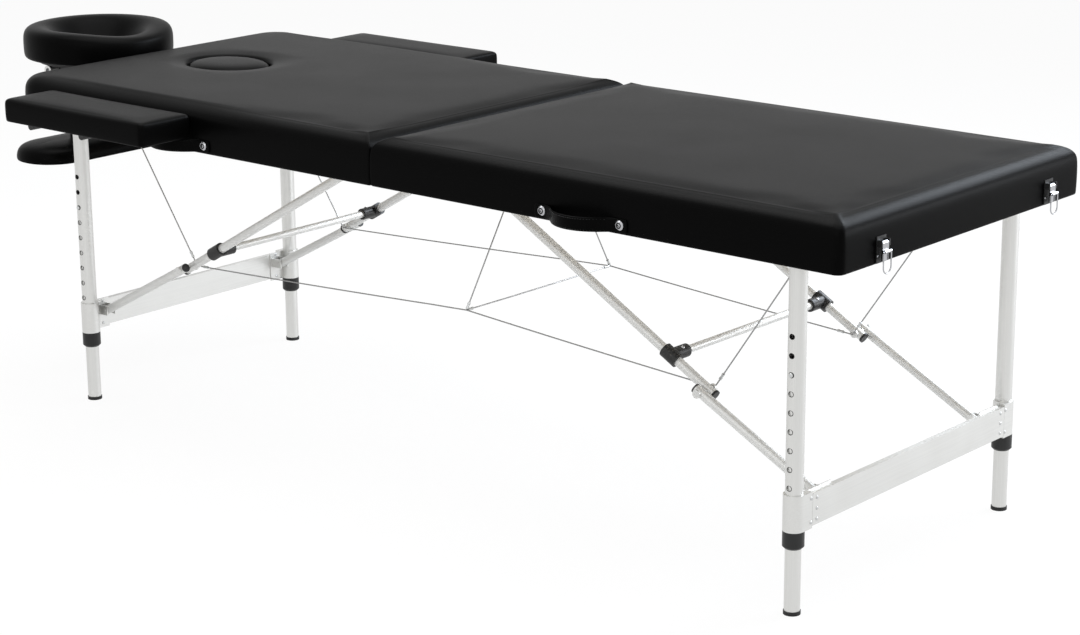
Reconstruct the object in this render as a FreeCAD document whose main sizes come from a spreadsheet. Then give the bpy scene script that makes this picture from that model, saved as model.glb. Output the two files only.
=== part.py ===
"""Folding massage table on telescopic legs, with headrest, arm shelf, armrests and face plug.

Lengths are millimetres. X runs from the head end to the foot end, Y from the near side to the far side and
Z up from the floor. Each piece is drawn with the middle hinge at X 0, and its sub-part is then moved along X
so that the origin lies under the middle of the whole table.
"""
import FreeCAD
import Part

import Sketcher
import os
import re

ENDS = {"head": -1, "foot": 1}
SIDES = {"near": -1, "far": 1}
QUARTERS = {(1, 1): 0, (-1, 1): 90, (-1, -1): 180, (1, -1): 270}
LEG_HOLES = 9
BUTTON_HOLE = 2
ARM_RODS = "-(arm_near + arm_rod_inner)", "-(arm_near + arm_length - arm_rod_outer)"
SIZES = {
    "underside": (551, "height of the panels' underside"),
    "panel_length": (930, "length of one half"),
    "panel_width": (680, "width of the table top"),
    "panel_height": (80, "panel from underside to top"),
    "middle_gap": (0.6, "gap between the halves"),
    "shoulder": (24, "rounding of the top edges"),
    "head_corner": (60, "plan corner at the head end"),
    "foot_corner": (26, "plan corner at the foot end"),
    "cover": (2, "leather thickness"),
    "cover_ease": (0.2, "room between foam and leather"),
    "foam_wall": (1, "upright edge below the foam's rounding"),
    "deck": (5, "plywood thickness"),
    "rail_depth": (49, "height of the wooden rails"),
    "rail": (18, "thickness of the wooden rails"),
    "hinge_drop": (5, "middle hinge axis below the underside"),
    "hinge_y": (200, "middle hinges from the centre line"),
    "hinge_width": (50, "width of a hinge leaf"),
    "hinge_leaf": (26, "length of a hinge leaf"),
    "leaf_gap": (0.5, "hinge leaf from its barrel"),
    "leaf_lap": (1, "knuckles' hold on their leaf"),
    "knuckle": (4, "radius of the hinge barrel"),
    "hinge_pin": (1.6, "radius of the hinge pin"),
    "hole_inset": (228, "middle of the face hole from the head end"),
    "hole_length": (175, "face hole along the table"),
    "hole_width": (145, "face hole across the table"),
    "hole_ledge": (20, "deck ledge under the plug"),
    "plug_ease": (1.5, "room round the plug"),
    "plug_rise": (4, "crown of the plug above the table top"),
    "plug_dome": (24, "height of the dome that crowns the plug"),
    "plug_spread": (14, "dome past the plug's outline"),
    "leg_inset": (99, "leg pivot from the panel's end"),
    "leg_edge": (58, "mean leg distance from the table's side"),
    "leg_stagger": (18, "head legs inward, foot legs outward"),
    "leg_lift": (20, "leg pivot above the underside"),
    "leg_tube": (14, "outer radius of the outer leg tube"),
    "leg_wall": (1.2, "wall of the outer leg tube"),
    "leg_head": (12, "tube above the leg pivot"),
    "leg_low": (108, "lower end of the outer tube"),
    "leg_pin": (4, "radius of the leg pivot pin"),
    "leg_bracket": (44, "length of a leg bracket"),
    "strut_bracket": (32, "length of a strut bracket"),
    "ear_drop": (5, "bracket ears below their pin"),
    "pin_end": (1, "pins past their ears"),
    "hole_top": (438.3, "height of the top adjusting hole"),
    "hole_pitch": (29.4, "spacing of the adjusting holes"),
    "hole_radius": (4, "radius of an adjusting hole"),
    "inner_tube": (12.5, "outer radius of the inner leg"),
    "inner_wall": (1.5, "wall of the inner leg"),
    "inner_top": (400, "top of the inner leg"),
    "inner_low": (6, "lower end of the inner leg on its cap"),
    "cap_radius": (13.5, "radius of the foot cap"),
    "cap_plug": (22, "foot cap's plug inside the leg"),
    "button_radius": (3.8, "radius of the snap button"),
    "button_reach": (17, "button tip from the leg axis"),
    "button_dome": (2.4, "rounding of the button tip"),
    "clip_height": (40, "height of the button's spring strip"),
    "clip_out": (10, "outer face of the spring strip from the leg axis"),
    "clip_strip": (1, "thickness of the spring strip"),
    "collar_radius": (17, "radius of the black collar"),
    "collar_height": (28, "height of the black collar"),
    "collar_lip": (2, "lip under the outer tube"),
    "collar_bevel": (3.5, "bevel of the collar's lower edge"),
    "sleeve_radius": (17, "radius of the crossbar sleeve"),
    "sleeve_height": (58, "height of the crossbar sleeve"),
    "plate": (2, "sheet metal thickness"),
    "plate_reach": (15, "sleeve's back plate inward of the lower struts"),
    "flange_reach": (7, "flat of the sleeve past its ring"),
    "tongue": (30, "sleeve's tongue inside the crossbar"),
    "ear_gap": (0.5, "clevis ears from the strut"),
    "ear_rim": (1, "clevis ears above and below the strut"),
    "bar_height": (51, "height of the crossbar"),
    "bar_depth": (10, "depth of the crossbar"),
    "bar_wall": (1.5, "wall of the crossbar"),
    "strut": (8, "radius of the struts"),
    "strut_wall": (1.2, "wall of the struts"),
    "strut_pin": (3, "radius of the strut pins"),
    "upper_x": (85, "upper strut pivot from the middle hinge"),
    "upper_step": (21, "upper struts inward of the lower struts"),
    "upper_lift": (30, "upper strut pivot above the underside"),
    "lower_step": (53, "lower struts inward of the mean leg line"),
    "lower_z": (172, "lower strut pivot above the floor"),
    "lower_set": (12, "lower strut pivot inward of the leg axis"),
    "knee_inset": (230.4, "knee inward of the leg axis"),
    "knee_z": (286.7, "knee above the floor"),
    "knee_bolt": (4, "radius of the knee bolt"),
    "knee_run": (0.2, "each half of the knee bolt from the split"),
    "bolt_rim": (3, "bolt heads beyond the shank"),
    "bolt_head": (5, "thickness of the inner bolt heads"),
    "bolt_nut": (4, "thickness of the outer nuts"),
    "upper_head": (8, "upper strut past its pivot"),
    "upper_tail": (12, "upper strut past the knee"),
    "upper_plug": (4, "thickness of the upper end plugs"),
    "plug_rim": (1, "upper end plugs past the strut"),
    "lower_head": (5, "lower strut past its pivot"),
    "lower_tail": (9, "lower strut past the knee"),
    "lower_plug": (3, "thickness of the lower end plugs"),
    "tee_set": (84.7, "tee from the knee along the upper strut"),
    "tee_radius": (12, "radius of the tee round the strut"),
    "tee_length": (30, "length of the tee along the strut"),
    "tee_socket": (26, "depth of the tee's socket"),
    "tee_wall": (4.5, "wall of the tee's socket"),
    "tee_stop": (1, "cross tube from the tee's sleeve"),
    "brace_tube": (6.5, "radius of the cross tube"),
    "cable": (1.25, "radius of the steel cables"),
    "cable_step": (16, "cables inward of the upper struts"),
    "cable_x": (76, "middle of the cables from the hinge"),
    "cable_z": (320, "height of the middle of the cables"),
    "cable_inset": (16, "outer cable anchors inward of the leg axis"),
    "cable_mid_y": (27, "middle cable anchors from the centre line"),
    "handle_set": (54, "middle of the head handle from the armrest's inner end"),
    "foot_handle_x": (452, "middle of the foot handle"),
    "handle_radius": (70, "radius of the handle's bow"),
    "handle_depth": (36, "handle out from the panel"),
    "handle_strap": (4, "thickness of the handle"),
    "handle_height": (23, "height of the handle"),
    "handle_rise": (1.5, "handle above the underside"),
    "handle_span": (184, "length of the handle with its tabs"),
    "handle_lap": (2, "tabs' hold on the handle's bow"),
    "latch_edge": (102, "latches from the table's side"),
    "latch_width": (24, "width of a latch base"),
    "latch_height": (40, "height of a latch base"),
    "latch_lift": (1, "latch base above the underside"),
    "latch_ear": (2, "thickness of a latch ear"),
    "latch_ear_gap": (1, "latch ear from the lever"),
    "latch_ear_out": (4, "latch ear past the lever pivot"),
    "latch_ear_rim": (5, "latch ear above and below the lever pivot"),
    "latch_pin": (2, "radius of the lever pin"),
    "latch_pivot": (31, "lever pivot above the underside"),
    "latch_stand": (6, "lever pivot out from the end face"),
    "lever_length": (26, "lever below its pivot"),
    "lever_width": (16, "width of the lever"),
    "lever_eye": (3.5, "radius of the lever's eye"),
    "lever_face": (1, "lever blade past its pivot"),
    "lever_sheet": (2.5, "thickness of the lever blade"),
    "barrel": (2.5, "radius of the lever's barrel round the bail wire"),
    "barrel_lap": (0.5, "barrel's hold on the lever blade"),
    "bail_drop": (12, "bail pivot below the lever pivot"),
    "bail_out": (6.5, "bail pivot out from the lever pivot"),
    "bail_length": (33, "bail below its pivot"),
    "bail_wire": (1.2, "radius of the bail wire"),
    "bail_side": (1.08, "radius of the bail's side wires"),
    "bail_width": (20, "width of the bail"),
    "hook_lift": (2, "catch hook's base above the underside"),
    "hook_height": (24, "height of a catch hook's base"),
    "hook_reach": (7, "catch hook out from the end face"),
    "hook_width": (8, "width of a catch hook"),
    "hook_seat": (14, "catch hook's lip above the underside"),
    "hook_tooth": (6, "height of a catch hook's tooth"),
    "rest_gap": (5, "headrest ring from the panel's end"),
    "rest_radius": (148, "outer radius of the headrest ring"),
    "rest_base": (606, "underside of the headrest ring"),
    "rest_height": (62, "height of the headrest ring"),
    "rest_hole": (46, "face opening at the bottom of the ring"),
    "rest_mouth": (92, "face opening at the top of the ring"),
    "ring_top": (26, "rounding of the ring's outer top edge"),
    "ring_low": (16, "rounding of the ring's outer lower edge"),
    "ring_mouth": (14, "rounding of the ring's mouth"),
    "rest_plate": (8, "thickness of the headrest plate"),
    "rod": (8, "radius of the headrest rods"),
    "rod_y": (107, "headrest rods from the centre line"),
    "rod_lift": (24, "headrest rods above the underside"),
    "rod_seat": (95, "headrest rods inside the panel"),
    "tilt_out": (168, "headrest tilt axis from the panel's end"),
    "tilt_z": (588, "headrest tilt axis above the floor"),
    "tilt_bolt": (4, "radius of the tilt bolts"),
    "tilt_eye": (9, "radius of the eyes round the tilt bolts"),
    "eye_inset": (1, "eyes inside the rods' sides"),
    "bolt_in": (14, "tilt bolts inward of the rods"),
    "bolt_out": (4, "tilt bolts outward of the rods"),
    "knob": (10, "radius of the tilt knobs"),
    "knob_width": (5, "thickness of the tilt knobs"),
    "tilt_lug": (12, "half length of the plate's lugs"),
    "tilt_lug_in": (12, "inner face of the plate's lugs from the rods"),
    "tilt_lug_out": (3, "outer face of the plate's lugs from the rods"),
    "tilt_lug_low": (8, "plate's lugs below the tilt axis"),
    "plate_lap": (1, "lugs short of the headrest ring"),
    "plate_inset": (28, "headrest plate inside the ring's outline"),
    "plate_hole": (8, "plate opening beyond the ring's"),
    "shelf_gap": (27, "arm shelf from the panel's end"),
    "shelf_depth": (148, "arm shelf along the table"),
    "shelf_width": (480, "arm shelf across the table"),
    "shelf_low": (430, "underside of the arm shelf"),
    "shelf_height": (35, "thickness of the arm shelf"),
    "shelf_corner": (72, "plan corner of the arm shelf"),
    "shelf_round": (22, "rounding of the shelf's top edges"),
    "shelf_low_round": (5, "rounding of the shelf's lower edges"),
    "strap": (2, "thickness of the webbing straps"),
    "strap_width": (30, "width of the webbing straps"),
    "strap_out": (100, "straps from the panel's end"),
    "arm_inset": (130, "armrest's outer end from the head end"),
    "arm_length": (375, "length of an armrest"),
    "arm_gap": (6, "armrest from the panel's side"),
    "arm_width": (116, "width of an armrest"),
    "arm_low": (577, "underside of an armrest"),
    "arm_height": (43, "thickness of an armrest"),
    "arm_corner": (13, "plan corner of an armrest"),
    "arm_round": (10, "rounding of the armrest's top edges"),
    "arm_low_round": (4, "rounding of the armrest's lower edges"),
    "arm_rod": (7, "radius of the armrest rods"),
    "arm_rod_inner": (190, "first armrest rod from the armrest's inner end"),
    "arm_rod_outer": (45, "second armrest rod from the armrest's outer end"),
    "arm_rod_end": (24, "armrest rods short of the outer edge"),
    "arm_rail": (3, "thickness of the armrest rail"),
    "arm_rail_over": (25, "armrest rail past its rods"),
    "arm_rail_in": (42, "armrest rail from the inner edge"),
    "arm_rail_out": (30, "armrest rail from the outer edge"),
    "arm_seat": (52, "armrest rods inside the panel"),
    "overcut": (1, "how far a cutting piece stands proud"),
    "fit": (0.1, "room round seated tubes"),
    "run": (0.3, "room round sliding pieces"),
    "pin_run": (0.08, "room round pivot pins"),
}
DERIVED = {
    "deck_low": "underside + rail_depth",
    "foam_low": "deck_low + deck",
    "top": "underside + panel_height",
    "foam_round": "min(shoulder - cover; top - cover - cover_ease - foam_low - foam_wall)",
    "half_width": "panel_width / 2",
    "inside": "half_width - cover",
    "outer_in": "panel_length - cover",
    "middle_in": "middle_gap / 2 + cover",
    "axis_z": "underside - hinge_drop",
    "leg_z": "underside + leg_lift",
    "upper_z": "underside + upper_lift",
    "leg_x": "panel_length - leg_inset",
    "leg_y": "half_width - leg_edge",
    "lower_x": "leg_x - lower_set",
    "lower_y": "leg_y - lower_step",
    "upper_y": "lower_y - upper_step",
    "cable_y": "upper_y - cable_step",
    "cable_top_x": "leg_x - cable_inset",
    "knee_x": "leg_x - knee_inset",
    "upper_reach": "hypot(knee_x - upper_x; upper_z - knee_z)",
    "lower_reach": "hypot(lower_x - knee_x; knee_z - lower_z)",
    "upper_lean": "90 deg + atan2(upper_z - knee_z; knee_x - upper_x)",
    "lower_lean": "-90 deg + atan2(knee_z - lower_z; lower_x - knee_x)",
    "tee_reach": "upper_reach - tee_set",
    "tee_x": "upper_x + tee_reach * (knee_x - upper_x) / upper_reach",
    "tee_z": "upper_z - tee_reach * (upper_z - knee_z) / upper_reach",
    "sleeve_low": "leg_low - collar_lip + collar_height",
    "bar_x": "leg_x + sleeve_radius - bar_depth",
    "bar_low": "sleeve_low + (sleeve_height - bar_height) / 2",
    "strut_gap": "(lower_y - upper_y) / 2 - strut",
    "knee_split": "upper_y + strut + strut_gap",
    "clear_pin": "strut_pin + pin_run",
    "rod_z": "underside + rod_lift",
    "hole_x": "panel_length - hole_inset",
    "rest_x": "panel_length + rest_gap + rest_radius",
    "rest_reach": "rest_x + rest_radius",
    "tilt_x": "panel_length + tilt_out",
    "shelf_near": "panel_length + shelf_gap",
    "strap_x": "panel_length + strap_out",
    "arm_near": "panel_length - arm_inset - arm_length",
    "head_handle_x": "arm_near + handle_set",
    "latch_y": "half_width - latch_edge",
    "lever_z": "underside + latch_pivot",
    "lever_x": "panel_length + latch_stand",
    "bail_x": "lever_x + bail_out",
    "bail_z": "lever_z - bail_drop",
    "foot_reach": "bail_x + barrel",
    "middle_x": "(rest_reach - foot_reach) / 2",
    "arm_rod_z": "arm_low - arm_rod",
    "handle_z": "underside + handle_rise",
}

document = FreeCAD.newDocument("massage_table")
subparts = []


def formula(text):
    """The text with each size's sheet named, as an expression wants it."""
    def named(found):
        word = found.group()
        if word in SIZES:
            return f"Sizes.{word}"
        return f"Derived.{word}" if word in DERIVED else word
    return re.sub(r"[a-z_]+", named, text)


def fill_sheets():
    """Driving sizes as plain numbers, then the values that follow from them."""
    sizes = document.addObject("Spreadsheet::Sheet", "Sizes")
    for row, (alias, (value, note)) in enumerate(SIZES.items(), start=1):
        sizes.set(f"A{row}", note)
        sizes.set(f"B{row}", str(value))
        sizes.setAlias(f"B{row}", alias)
    document.recompute()
    derived = document.addObject("Spreadsheet::Sheet", "Derived")
    for row, (alias, text) in enumerate(DERIVED.items(), start=1):
        derived.set(f"A{row}", alias.replace("_", " "))
        derived.set(f"B{row}", "=" + formula(text))
        derived.setAlias(f"B{row}", alias)
    document.recompute()


def value(alias):
    """A size as a number."""
    sheet = document.Sizes if alias in SIZES else document.Derived
    return float(sheet.get(alias))


def bind(thing, **settings):
    for setting, text in settings.items():
        thing.setExpression(setting, formula(text))


def put(thing, x, y, z):
    """Moves a piece to a place given by three formulas."""
    for axis, text in zip("xyz", (x, y, z)):
        thing.setExpression(f"Placement.Base.{axis}", formula(text))
    return thing


def span(sign, low, high):
    """Both ends of a stretch, mirrored where the sign is negative."""
    if sign > 0:
        return f"({low})", f"({high})"
    return f"-({high})", f"-({low})"


def about(centre, half):
    """Both ends of a stretch that reaches as far to each side of its centre."""
    return f"{centre} - ({half})", f"{centre} + ({half})"


def box(xs, ys, zs):
    block = document.addObject("Part::Box", "Block")
    sizes = [f"({high}) - ({low})" for low, high in (xs, ys, zs)]
    bind(block, Length=sizes[0], Width=sizes[1], Height=sizes[2])
    return put(block, xs[0], ys[0], zs[0])


def upright(radius, x, y, zs):
    """A cylinder along Z."""
    round_bar = document.addObject("Part::Cylinder", "Round")
    bind(round_bar, Radius=radius, Height=f"({zs[1]}) - ({zs[0]})")
    return put(round_bar, x, y, zs[0])


def turned(radius, length, axis, angle, place):
    """A cylinder that starts at a place and is turned from Z about an axis."""
    round_bar = document.addObject("Part::Cylinder", "Round")
    bind(round_bar, Radius=radius, Height=length)
    round_bar.Placement.Rotation = FreeCAD.Rotation(axis, 45)
    round_bar.setExpression("Placement.Rotation.Angle", formula(angle))
    return put(round_bar, *place)


def across(radius, x, ys, z):
    """A cylinder along Y."""
    return turned(radius, f"({ys[1]}) - ({ys[0]})", FreeCAD.Vector(-1, 0, 0), "90", (x, ys[0], z))


def along(radius, xs, y, z):
    """A cylinder along X."""
    return turned(radius, f"({xs[1]}) - ({xs[0]})", FreeCAD.Vector(0, 1, 0), "90", (xs[0], y, z))


def leaning(radius, length, end, lean, place):
    """A cylinder in a plane of constant Y, mirrored at the head end."""
    return turned(radius, length, FreeCAD.Vector(0, end, 0), lean, place)


def fuse(*pieces):
    whole = document.addObject("Part::MultiFuse", "Joined")
    whole.Shapes = list(pieces)
    return whole


def cut(base, *tools):
    rest = document.addObject("Part::Cut", "Shaped")
    rest.Base = base
    rest.Tool = fuse(*tools) if len(tools) > 1 else tools[0]
    return rest


def oval(length, width, x, zs):
    """An upright oval block about a point on the centre line."""
    edge = document.addObject("Part::Ellipse", "Oval")
    bind(edge, MajorRadius=f"({length}) / 2", MinorRadius=f"({width}) / 2")
    put(edge, x, "0", zs[0])
    block = document.addObject("Part::Extrusion", "OvalBlock")
    block.Base = edge
    block.DirMode = "Custom"
    block.Dir = FreeCAD.Vector(0, 0, 1)
    block.Solid = True
    bind(block, LengthFwd=f"({zs[1]}) - ({zs[0]})")
    return block


def subpart(label, *pieces):
    """A finished sub-part: its solids, moved so that the table's middle is at the origin."""
    whole = document.addObject("Part::Compound", "Piece")
    whole.Links = list(pieces)
    whole.Label = label
    put(whole, "middle_x", "0", "0")
    subparts.append(whole)


def rounded(base, radius_of_edge):
    """A piece with the edges rounded for which the function gives a size's name."""
    document.recompute()
    edges = []
    for number, edge in enumerate(base.Shape.Edges, start=1):
        alias = radius_of_edge(edge)
        if alias:
            edges.append((number, value(alias), value(alias)))
    smooth = document.addObject("Part::Fillet", "Rounded")
    smooth.Base = base
    smooth.Edges = edges
    return smooth


def slab(name, xs, ys, zs, corner_edges, corner, top_round=None, low_round=None):
    """A padded block as a body: pad, rounded plan corners, then rounded top and perhaps lower edges."""
    body = document.addObject("PartDesign::Body", name)
    sketch = body.newObject("Sketcher::SketchObject", name + "Plan")
    sketch.AttachmentSupport = (body.Origin.OriginFeatures[3], "")
    sketch.MapMode = "FlatFace"
    points = [FreeCAD.Vector(*p) for p in ((0, 0, 0), (9, 0, 0), (9, 9, 0), (0, 9, 0))]
    for start, stop in zip(points, points[1:] + points[:1]):
        sketch.addGeometry(Part.LineSegment(start, stop))
    for line in range(4):
        sketch.addConstraint(Sketcher.Constraint("Coincident", line, 2, (line + 1) % 4, 1))
        sketch.addConstraint(Sketcher.Constraint("Vertical" if line % 2 else "Horizontal", line))
    sketch.addConstraint(Sketcher.Constraint("Coincident", 0, 1, -1, 1))
    for line, label, ends in ((0, "Long", xs), (1, "Wide", ys)):
        number = sketch.addConstraint(Sketcher.Constraint("Distance", line, 9))
        sketch.renameConstraint(number, label)
        sketch.setExpression(f"Constraints.{label}", formula(f"({ends[1]}) - ({ends[0]})"))
    pad = body.newObject("PartDesign::Pad", name + "Pad")
    pad.Profile = sketch
    bind(pad, Length=f"({zs[1]}) - ({zs[0]})")
    document.recompute()
    tip = pad

    def smooth(feature, suffix, wanted, radius):
        names = [f"Edge{n}" for n, e in enumerate(feature.Shape.Edges, start=1) if wanted(e)]
        fillet = body.newObject("PartDesign::Fillet", name + suffix)
        fillet.Base = (feature, names)
        bind(fillet, Radius=radius)
        document.recompute()
        return fillet

    if corner:
        tip = smooth(tip, "Corners", corner_edges, corner)
    top = tip.Shape.BoundBox.ZMax

    def level(edge, height):
        return abs(edge.BoundBox.ZMin - height) < 0.01 and abs(edge.BoundBox.ZMax - height) < 0.01

    if top_round:
        tip = smooth(tip, "Top", lambda e: level(e, top), top_round)
    if low_round:
        tip = smooth(tip, "Low", lambda e: level(e, 0), low_round)
    put(body, xs[0], ys[0], zs[0])
    return body


def standing(edge):
    return edge.BoundBox.ZLength > 1


def outer_corners(end):
    """A test for the upright edges at a half's outer end."""
    def wanted(edge):
        at_outer = edge.BoundBox.XMin > 1 if end > 0 else edge.BoundBox.XMax < 1
        return standing(edge) and at_outer
    return wanted


def panel_cover(label, end, holes):
    corner = f"{label}_corner"
    outside = slab(
        label.title() + "Outside", span(end, "middle_gap / 2", "panel_length"), about("0", "half_width"),
        ("underside", "top"), outer_corners(end), corner, "shoulder",
    )
    inside = slab(
        label.title() + "Inside", span(end, "middle_in", "outer_in"), about("0", "inside"),
        ("underside", "top - cover"), outer_corners(end), f"{corner} - cover", "shoulder - cover",
    )
    subpart(f"{label}_cover", cut(outside, inside, *holes))


def panel_foam(label, end, holes):
    foam = slab(
        label.title() + "Foam", span(end, "middle_in + cover_ease", "outer_in - cover_ease"),
        about("0", "inside - cover_ease"), ("foam_low", "top - cover - cover_ease"),
        outer_corners(end), f"{label}_corner - cover", "foam_round",
    )
    subpart(f"{label}_foam", cut(foam, *holes) if holes else foam)


def panel_deck(label, end, holes):
    board = slab(
        label.title() + "Deck", span(end, "middle_in", "outer_in"), about("0", "inside"),
        ("deck_low", "foam_low"), outer_corners(end), f"{label}_corner - cover",
    )
    subpart(f"{label}_deck", cut(board, *holes) if holes else board)


def panel_rails(label, end, end_holes, side_holes):
    """Two side rails, two corner blocks, the outer end rail and the rail beside the middle hinge."""
    corner = f"{label}_corner"
    depth = ("underside", "deck_low")
    rails = []
    for side in SIDES.values():
        long_way = span(end, "middle_in", f"panel_length - {corner}")
        side_rail = box(long_way, span(side, "inside - rail", "inside"), depth)
        rails.append(cut(side_rail, *side_holes[side]) if side_holes else side_rail)
        centre = (f"{end} * (panel_length - {corner})", f"{side} * (half_width - {corner})")
        block = upright(f"{corner} - cover", *centre, depth)
        block.Angle = 90
        block.Placement.Rotation = FreeCAD.Rotation(FreeCAD.Vector(0, 0, 1), QUARTERS[end, side])
        rails.append(block)
    outer = box(span(end, "outer_in - rail", "outer_in"), about("0", f"half_width - {corner}"), depth)
    rails.append(cut(outer, *end_holes) if end_holes else outer)
    rails.append(box(span(end, "middle_in", "middle_in + rail"), about("0", "inside - rail"), depth))
    subpart(f"{label}_rails", *rails)


def leg_offset(end):
    """Distance of an end's legs from the centre line: staggered, so that folded legs pass each other."""
    return f"leg_y + {end} * leg_stagger"


def pivot_bracket(end, x, y, z, bore, pin, length):
    """A channel under the deck with a pin across it, for a tube of a given radius to swing on."""
    wide = f"{bore} + run + plate"
    base = box(
        (f"{end} * ({x}) - {length} / 2", f"{end} * ({x}) + {length} / 2"), about(y, wide),
        ("deck_low - plate", "deck_low"),
    )
    ears = [
        box(
            about(f"{end} * ({x})", f"{length} / 4"),
            (f"{y} + {sign} * ({bore} + run + plate / 2) - plate / 2",
             f"{y} + {sign} * ({bore} + run + plate / 2) + plate / 2"),
            (f"{z} - {pin} - ear_drop", "deck_low"),
        )
        for sign in (-1, 1)
    ]
    axle = across(pin, f"{end} * ({x})", about(y, f"{wide} + pin_end"), z)
    return fuse(base, axle, *ears)


def panel_brackets(label, end):
    brackets = []
    for side in SIDES.values():
        leg = f"{side} * ({leg_offset(end)})"
        brackets.append(pivot_bracket(end, "leg_x", leg, "leg_z", "leg_tube", "leg_pin", "leg_bracket"))
        strut = f"{side} * upper_y"
        brackets.append(pivot_bracket(
            end, "upper_x", strut, "upper_z", "strut", "strut_pin", "strut_bracket",
        ))
    subpart(f"{label}_brackets", *brackets)


def handle(label, end):
    """A bowed strap on the near side, with a flat tab at each end."""
    middle = f"{end} * {label}_handle_x"
    heights = ("handle_z", "handle_z + handle_height")
    centre = "-half_width - handle_depth + handle_radius"
    bow = cut(
        upright("handle_radius", middle, centre, heights),
        upright("handle_radius - handle_strap", middle, centre, heights),
        box(
            about(middle, "handle_radius + overcut"),
            ("-half_width", f"{centre} + handle_radius + overcut"), heights,
        ),
    )
    half_bow = "sqrt(handle_radius ^ 2 - (handle_radius - handle_depth) ^ 2)"
    tabs = [
        box(
            span(end, f"{label}_handle_x + {low}", f"{label}_handle_x + {high}"),
            ("-half_width - handle_strap", "-half_width"), heights,
        )
        for low, high in (
            ("-handle_span / 2", f"-{half_bow} + handle_lap"),
            (f"{half_bow} - handle_lap", "handle_span / 2"),
        )
    ]
    subpart(f"{label}_handle", fuse(bow, *tabs))


def hinge_leaves(label, end):
    """Leaves of both middle hinges. The head leaves have the two outer knuckles and the pin."""
    leaves = []
    for side in SIDES.values():
        middle = f"{side} * hinge_y"
        ys = about(middle, "hinge_width / 2")
        flat = span(end, "knuckle + leaf_gap", "knuckle + hinge_leaf")
        leaf = box(flat, ys, ("underside - plate", "underside"))
        third = "hinge_width / 6"
        if end > 0:
            stretches = [about(middle, f"{third} - run")]
        else:
            stretches = [(ys[0], f"{middle} - {third}"), (f"{middle} + {third}", ys[1])]
        parts = [leaf]
        for stretch in stretches:
            parts.append(across("knuckle", "0", stretch, "axis_z"))
            parts.append(box(span(end, "0", "knuckle + leaf_lap"), stretch, ("axis_z", "underside")))
        if end > 0:
            leaves.append(cut(fuse(*parts), across("hinge_pin + pin_run", "0", ys, "axis_z")))
        else:
            leaves.append(fuse(across("hinge_pin", "0", ys, "axis_z"), *parts))
    subpart(f"{label}_hinge_leaves", *leaves)


def outer_leg(end, side):
    """Outer tube with its pivot hole and a row of nine adjusting holes on the outward side."""
    x = f"{end} * leg_x"
    y = f"{side} * ({leg_offset(end)})"
    top = "leg_z + leg_head"
    outward = span(side, leg_offset(end), f"{leg_offset(end)} + leg_tube + overcut")
    holes = [
        across("hole_radius", x, outward, f"hole_top - {number} * hole_pitch")
        for number in range(LEG_HOLES)
    ]
    return cut(
        upright("leg_tube", x, y, ("leg_low", top)),
        upright("leg_tube - leg_wall", x, y, ("leg_low", top)),
        across("leg_pin + pin_run", x, about(y, "leg_tube + overcut"), "leg_z"),
        *holes,
    )


def sleeve(end, side):
    """Ring round a leg, a flange and tongue for the crossbar, and a clevis with the lower strut's pin."""
    offset = leg_offset(end)
    heights = ("sleeve_low", "sleeve_low + sleeve_height")
    x = f"{end} * leg_x"
    y = f"{side} * ({offset})"
    back = box(span(end, "bar_x - plate", "bar_x"), span(side, "lower_y - plate_reach", offset), heights)
    bar_end = f"{offset} - sleeve_radius - flange_reach"
    flange = box(span(end, "bar_x", "bar_x + bar_depth"), span(side, bar_end, offset), heights)
    tongue = box(
        span(end, "bar_x + bar_wall + run", "bar_x + bar_depth - bar_wall - run"),
        span(side, f"{bar_end} - tongue", offset),
        ("bar_low + bar_wall + run", "bar_low + bar_height - bar_wall - run"),
    )
    ears = [
        box(
            span(end, "lower_x - strut", "bar_x - plate"),
            about(f"{side} * (lower_y + {sign} * (strut + ear_gap + plate / 2))", "plate / 2"),
            about("lower_z", "strut + ear_rim"),
        )
        for sign in (-1, 1)
    ]
    grip = about(f"{side} * lower_y", "strut + ear_gap + plate + pin_end")
    pin = across("strut_pin", f"{end} * lower_x", grip, "lower_z")
    whole = fuse(upright("sleeve_radius", x, y, heights), back, flange, tongue, pin, *ears)
    return cut(whole, upright("leg_tube + fit", x, y, heights))


def collar(end, side):
    x = f"{end} * leg_x"
    y = f"{side} * ({leg_offset(end)})"
    bevel = document.addObject("Part::Cone", "Bevel")
    bind(bevel, Radius1="collar_radius - collar_bevel", Radius2="collar_radius", Height="collar_bevel")
    put(bevel, x, y, "leg_low - collar_lip")
    return cut(
        fuse(bevel, upright("collar_radius", x, y, ("leg_low - collar_lip + collar_bevel", "sleeve_low"))),
        upright("leg_tube + fit", x, y, ("leg_low", "sleeve_low")),
        upright("inner_tube + run", x, y, ("leg_low - collar_lip", "sleeve_low")),
    )


def leg_frame(label, end):
    subpart(f"{label}_leg_tubes", *(outer_leg(end, side) for side in SIDES.values()))
    subpart(f"{label}_leg_sleeves", *(sleeve(end, side) for side in SIDES.values()))
    subpart(f"{label}_leg_collars", *(collar(end, side) for side in SIDES.values()))
    reach = f"{leg_offset(end)} - sleeve_radius - flange_reach - run"
    bar = cut(
        box(span(end, "bar_x", "bar_x + bar_depth"), about("0", reach), ("bar_low", "bar_low + bar_height")),
        box(span(end, "bar_x + bar_wall", "bar_x + bar_depth - bar_wall"), about("0", reach),
            ("bar_low + bar_wall", "bar_low + bar_height - bar_wall")),
    )
    subpart(f"{label}_crossbar", bar)


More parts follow.
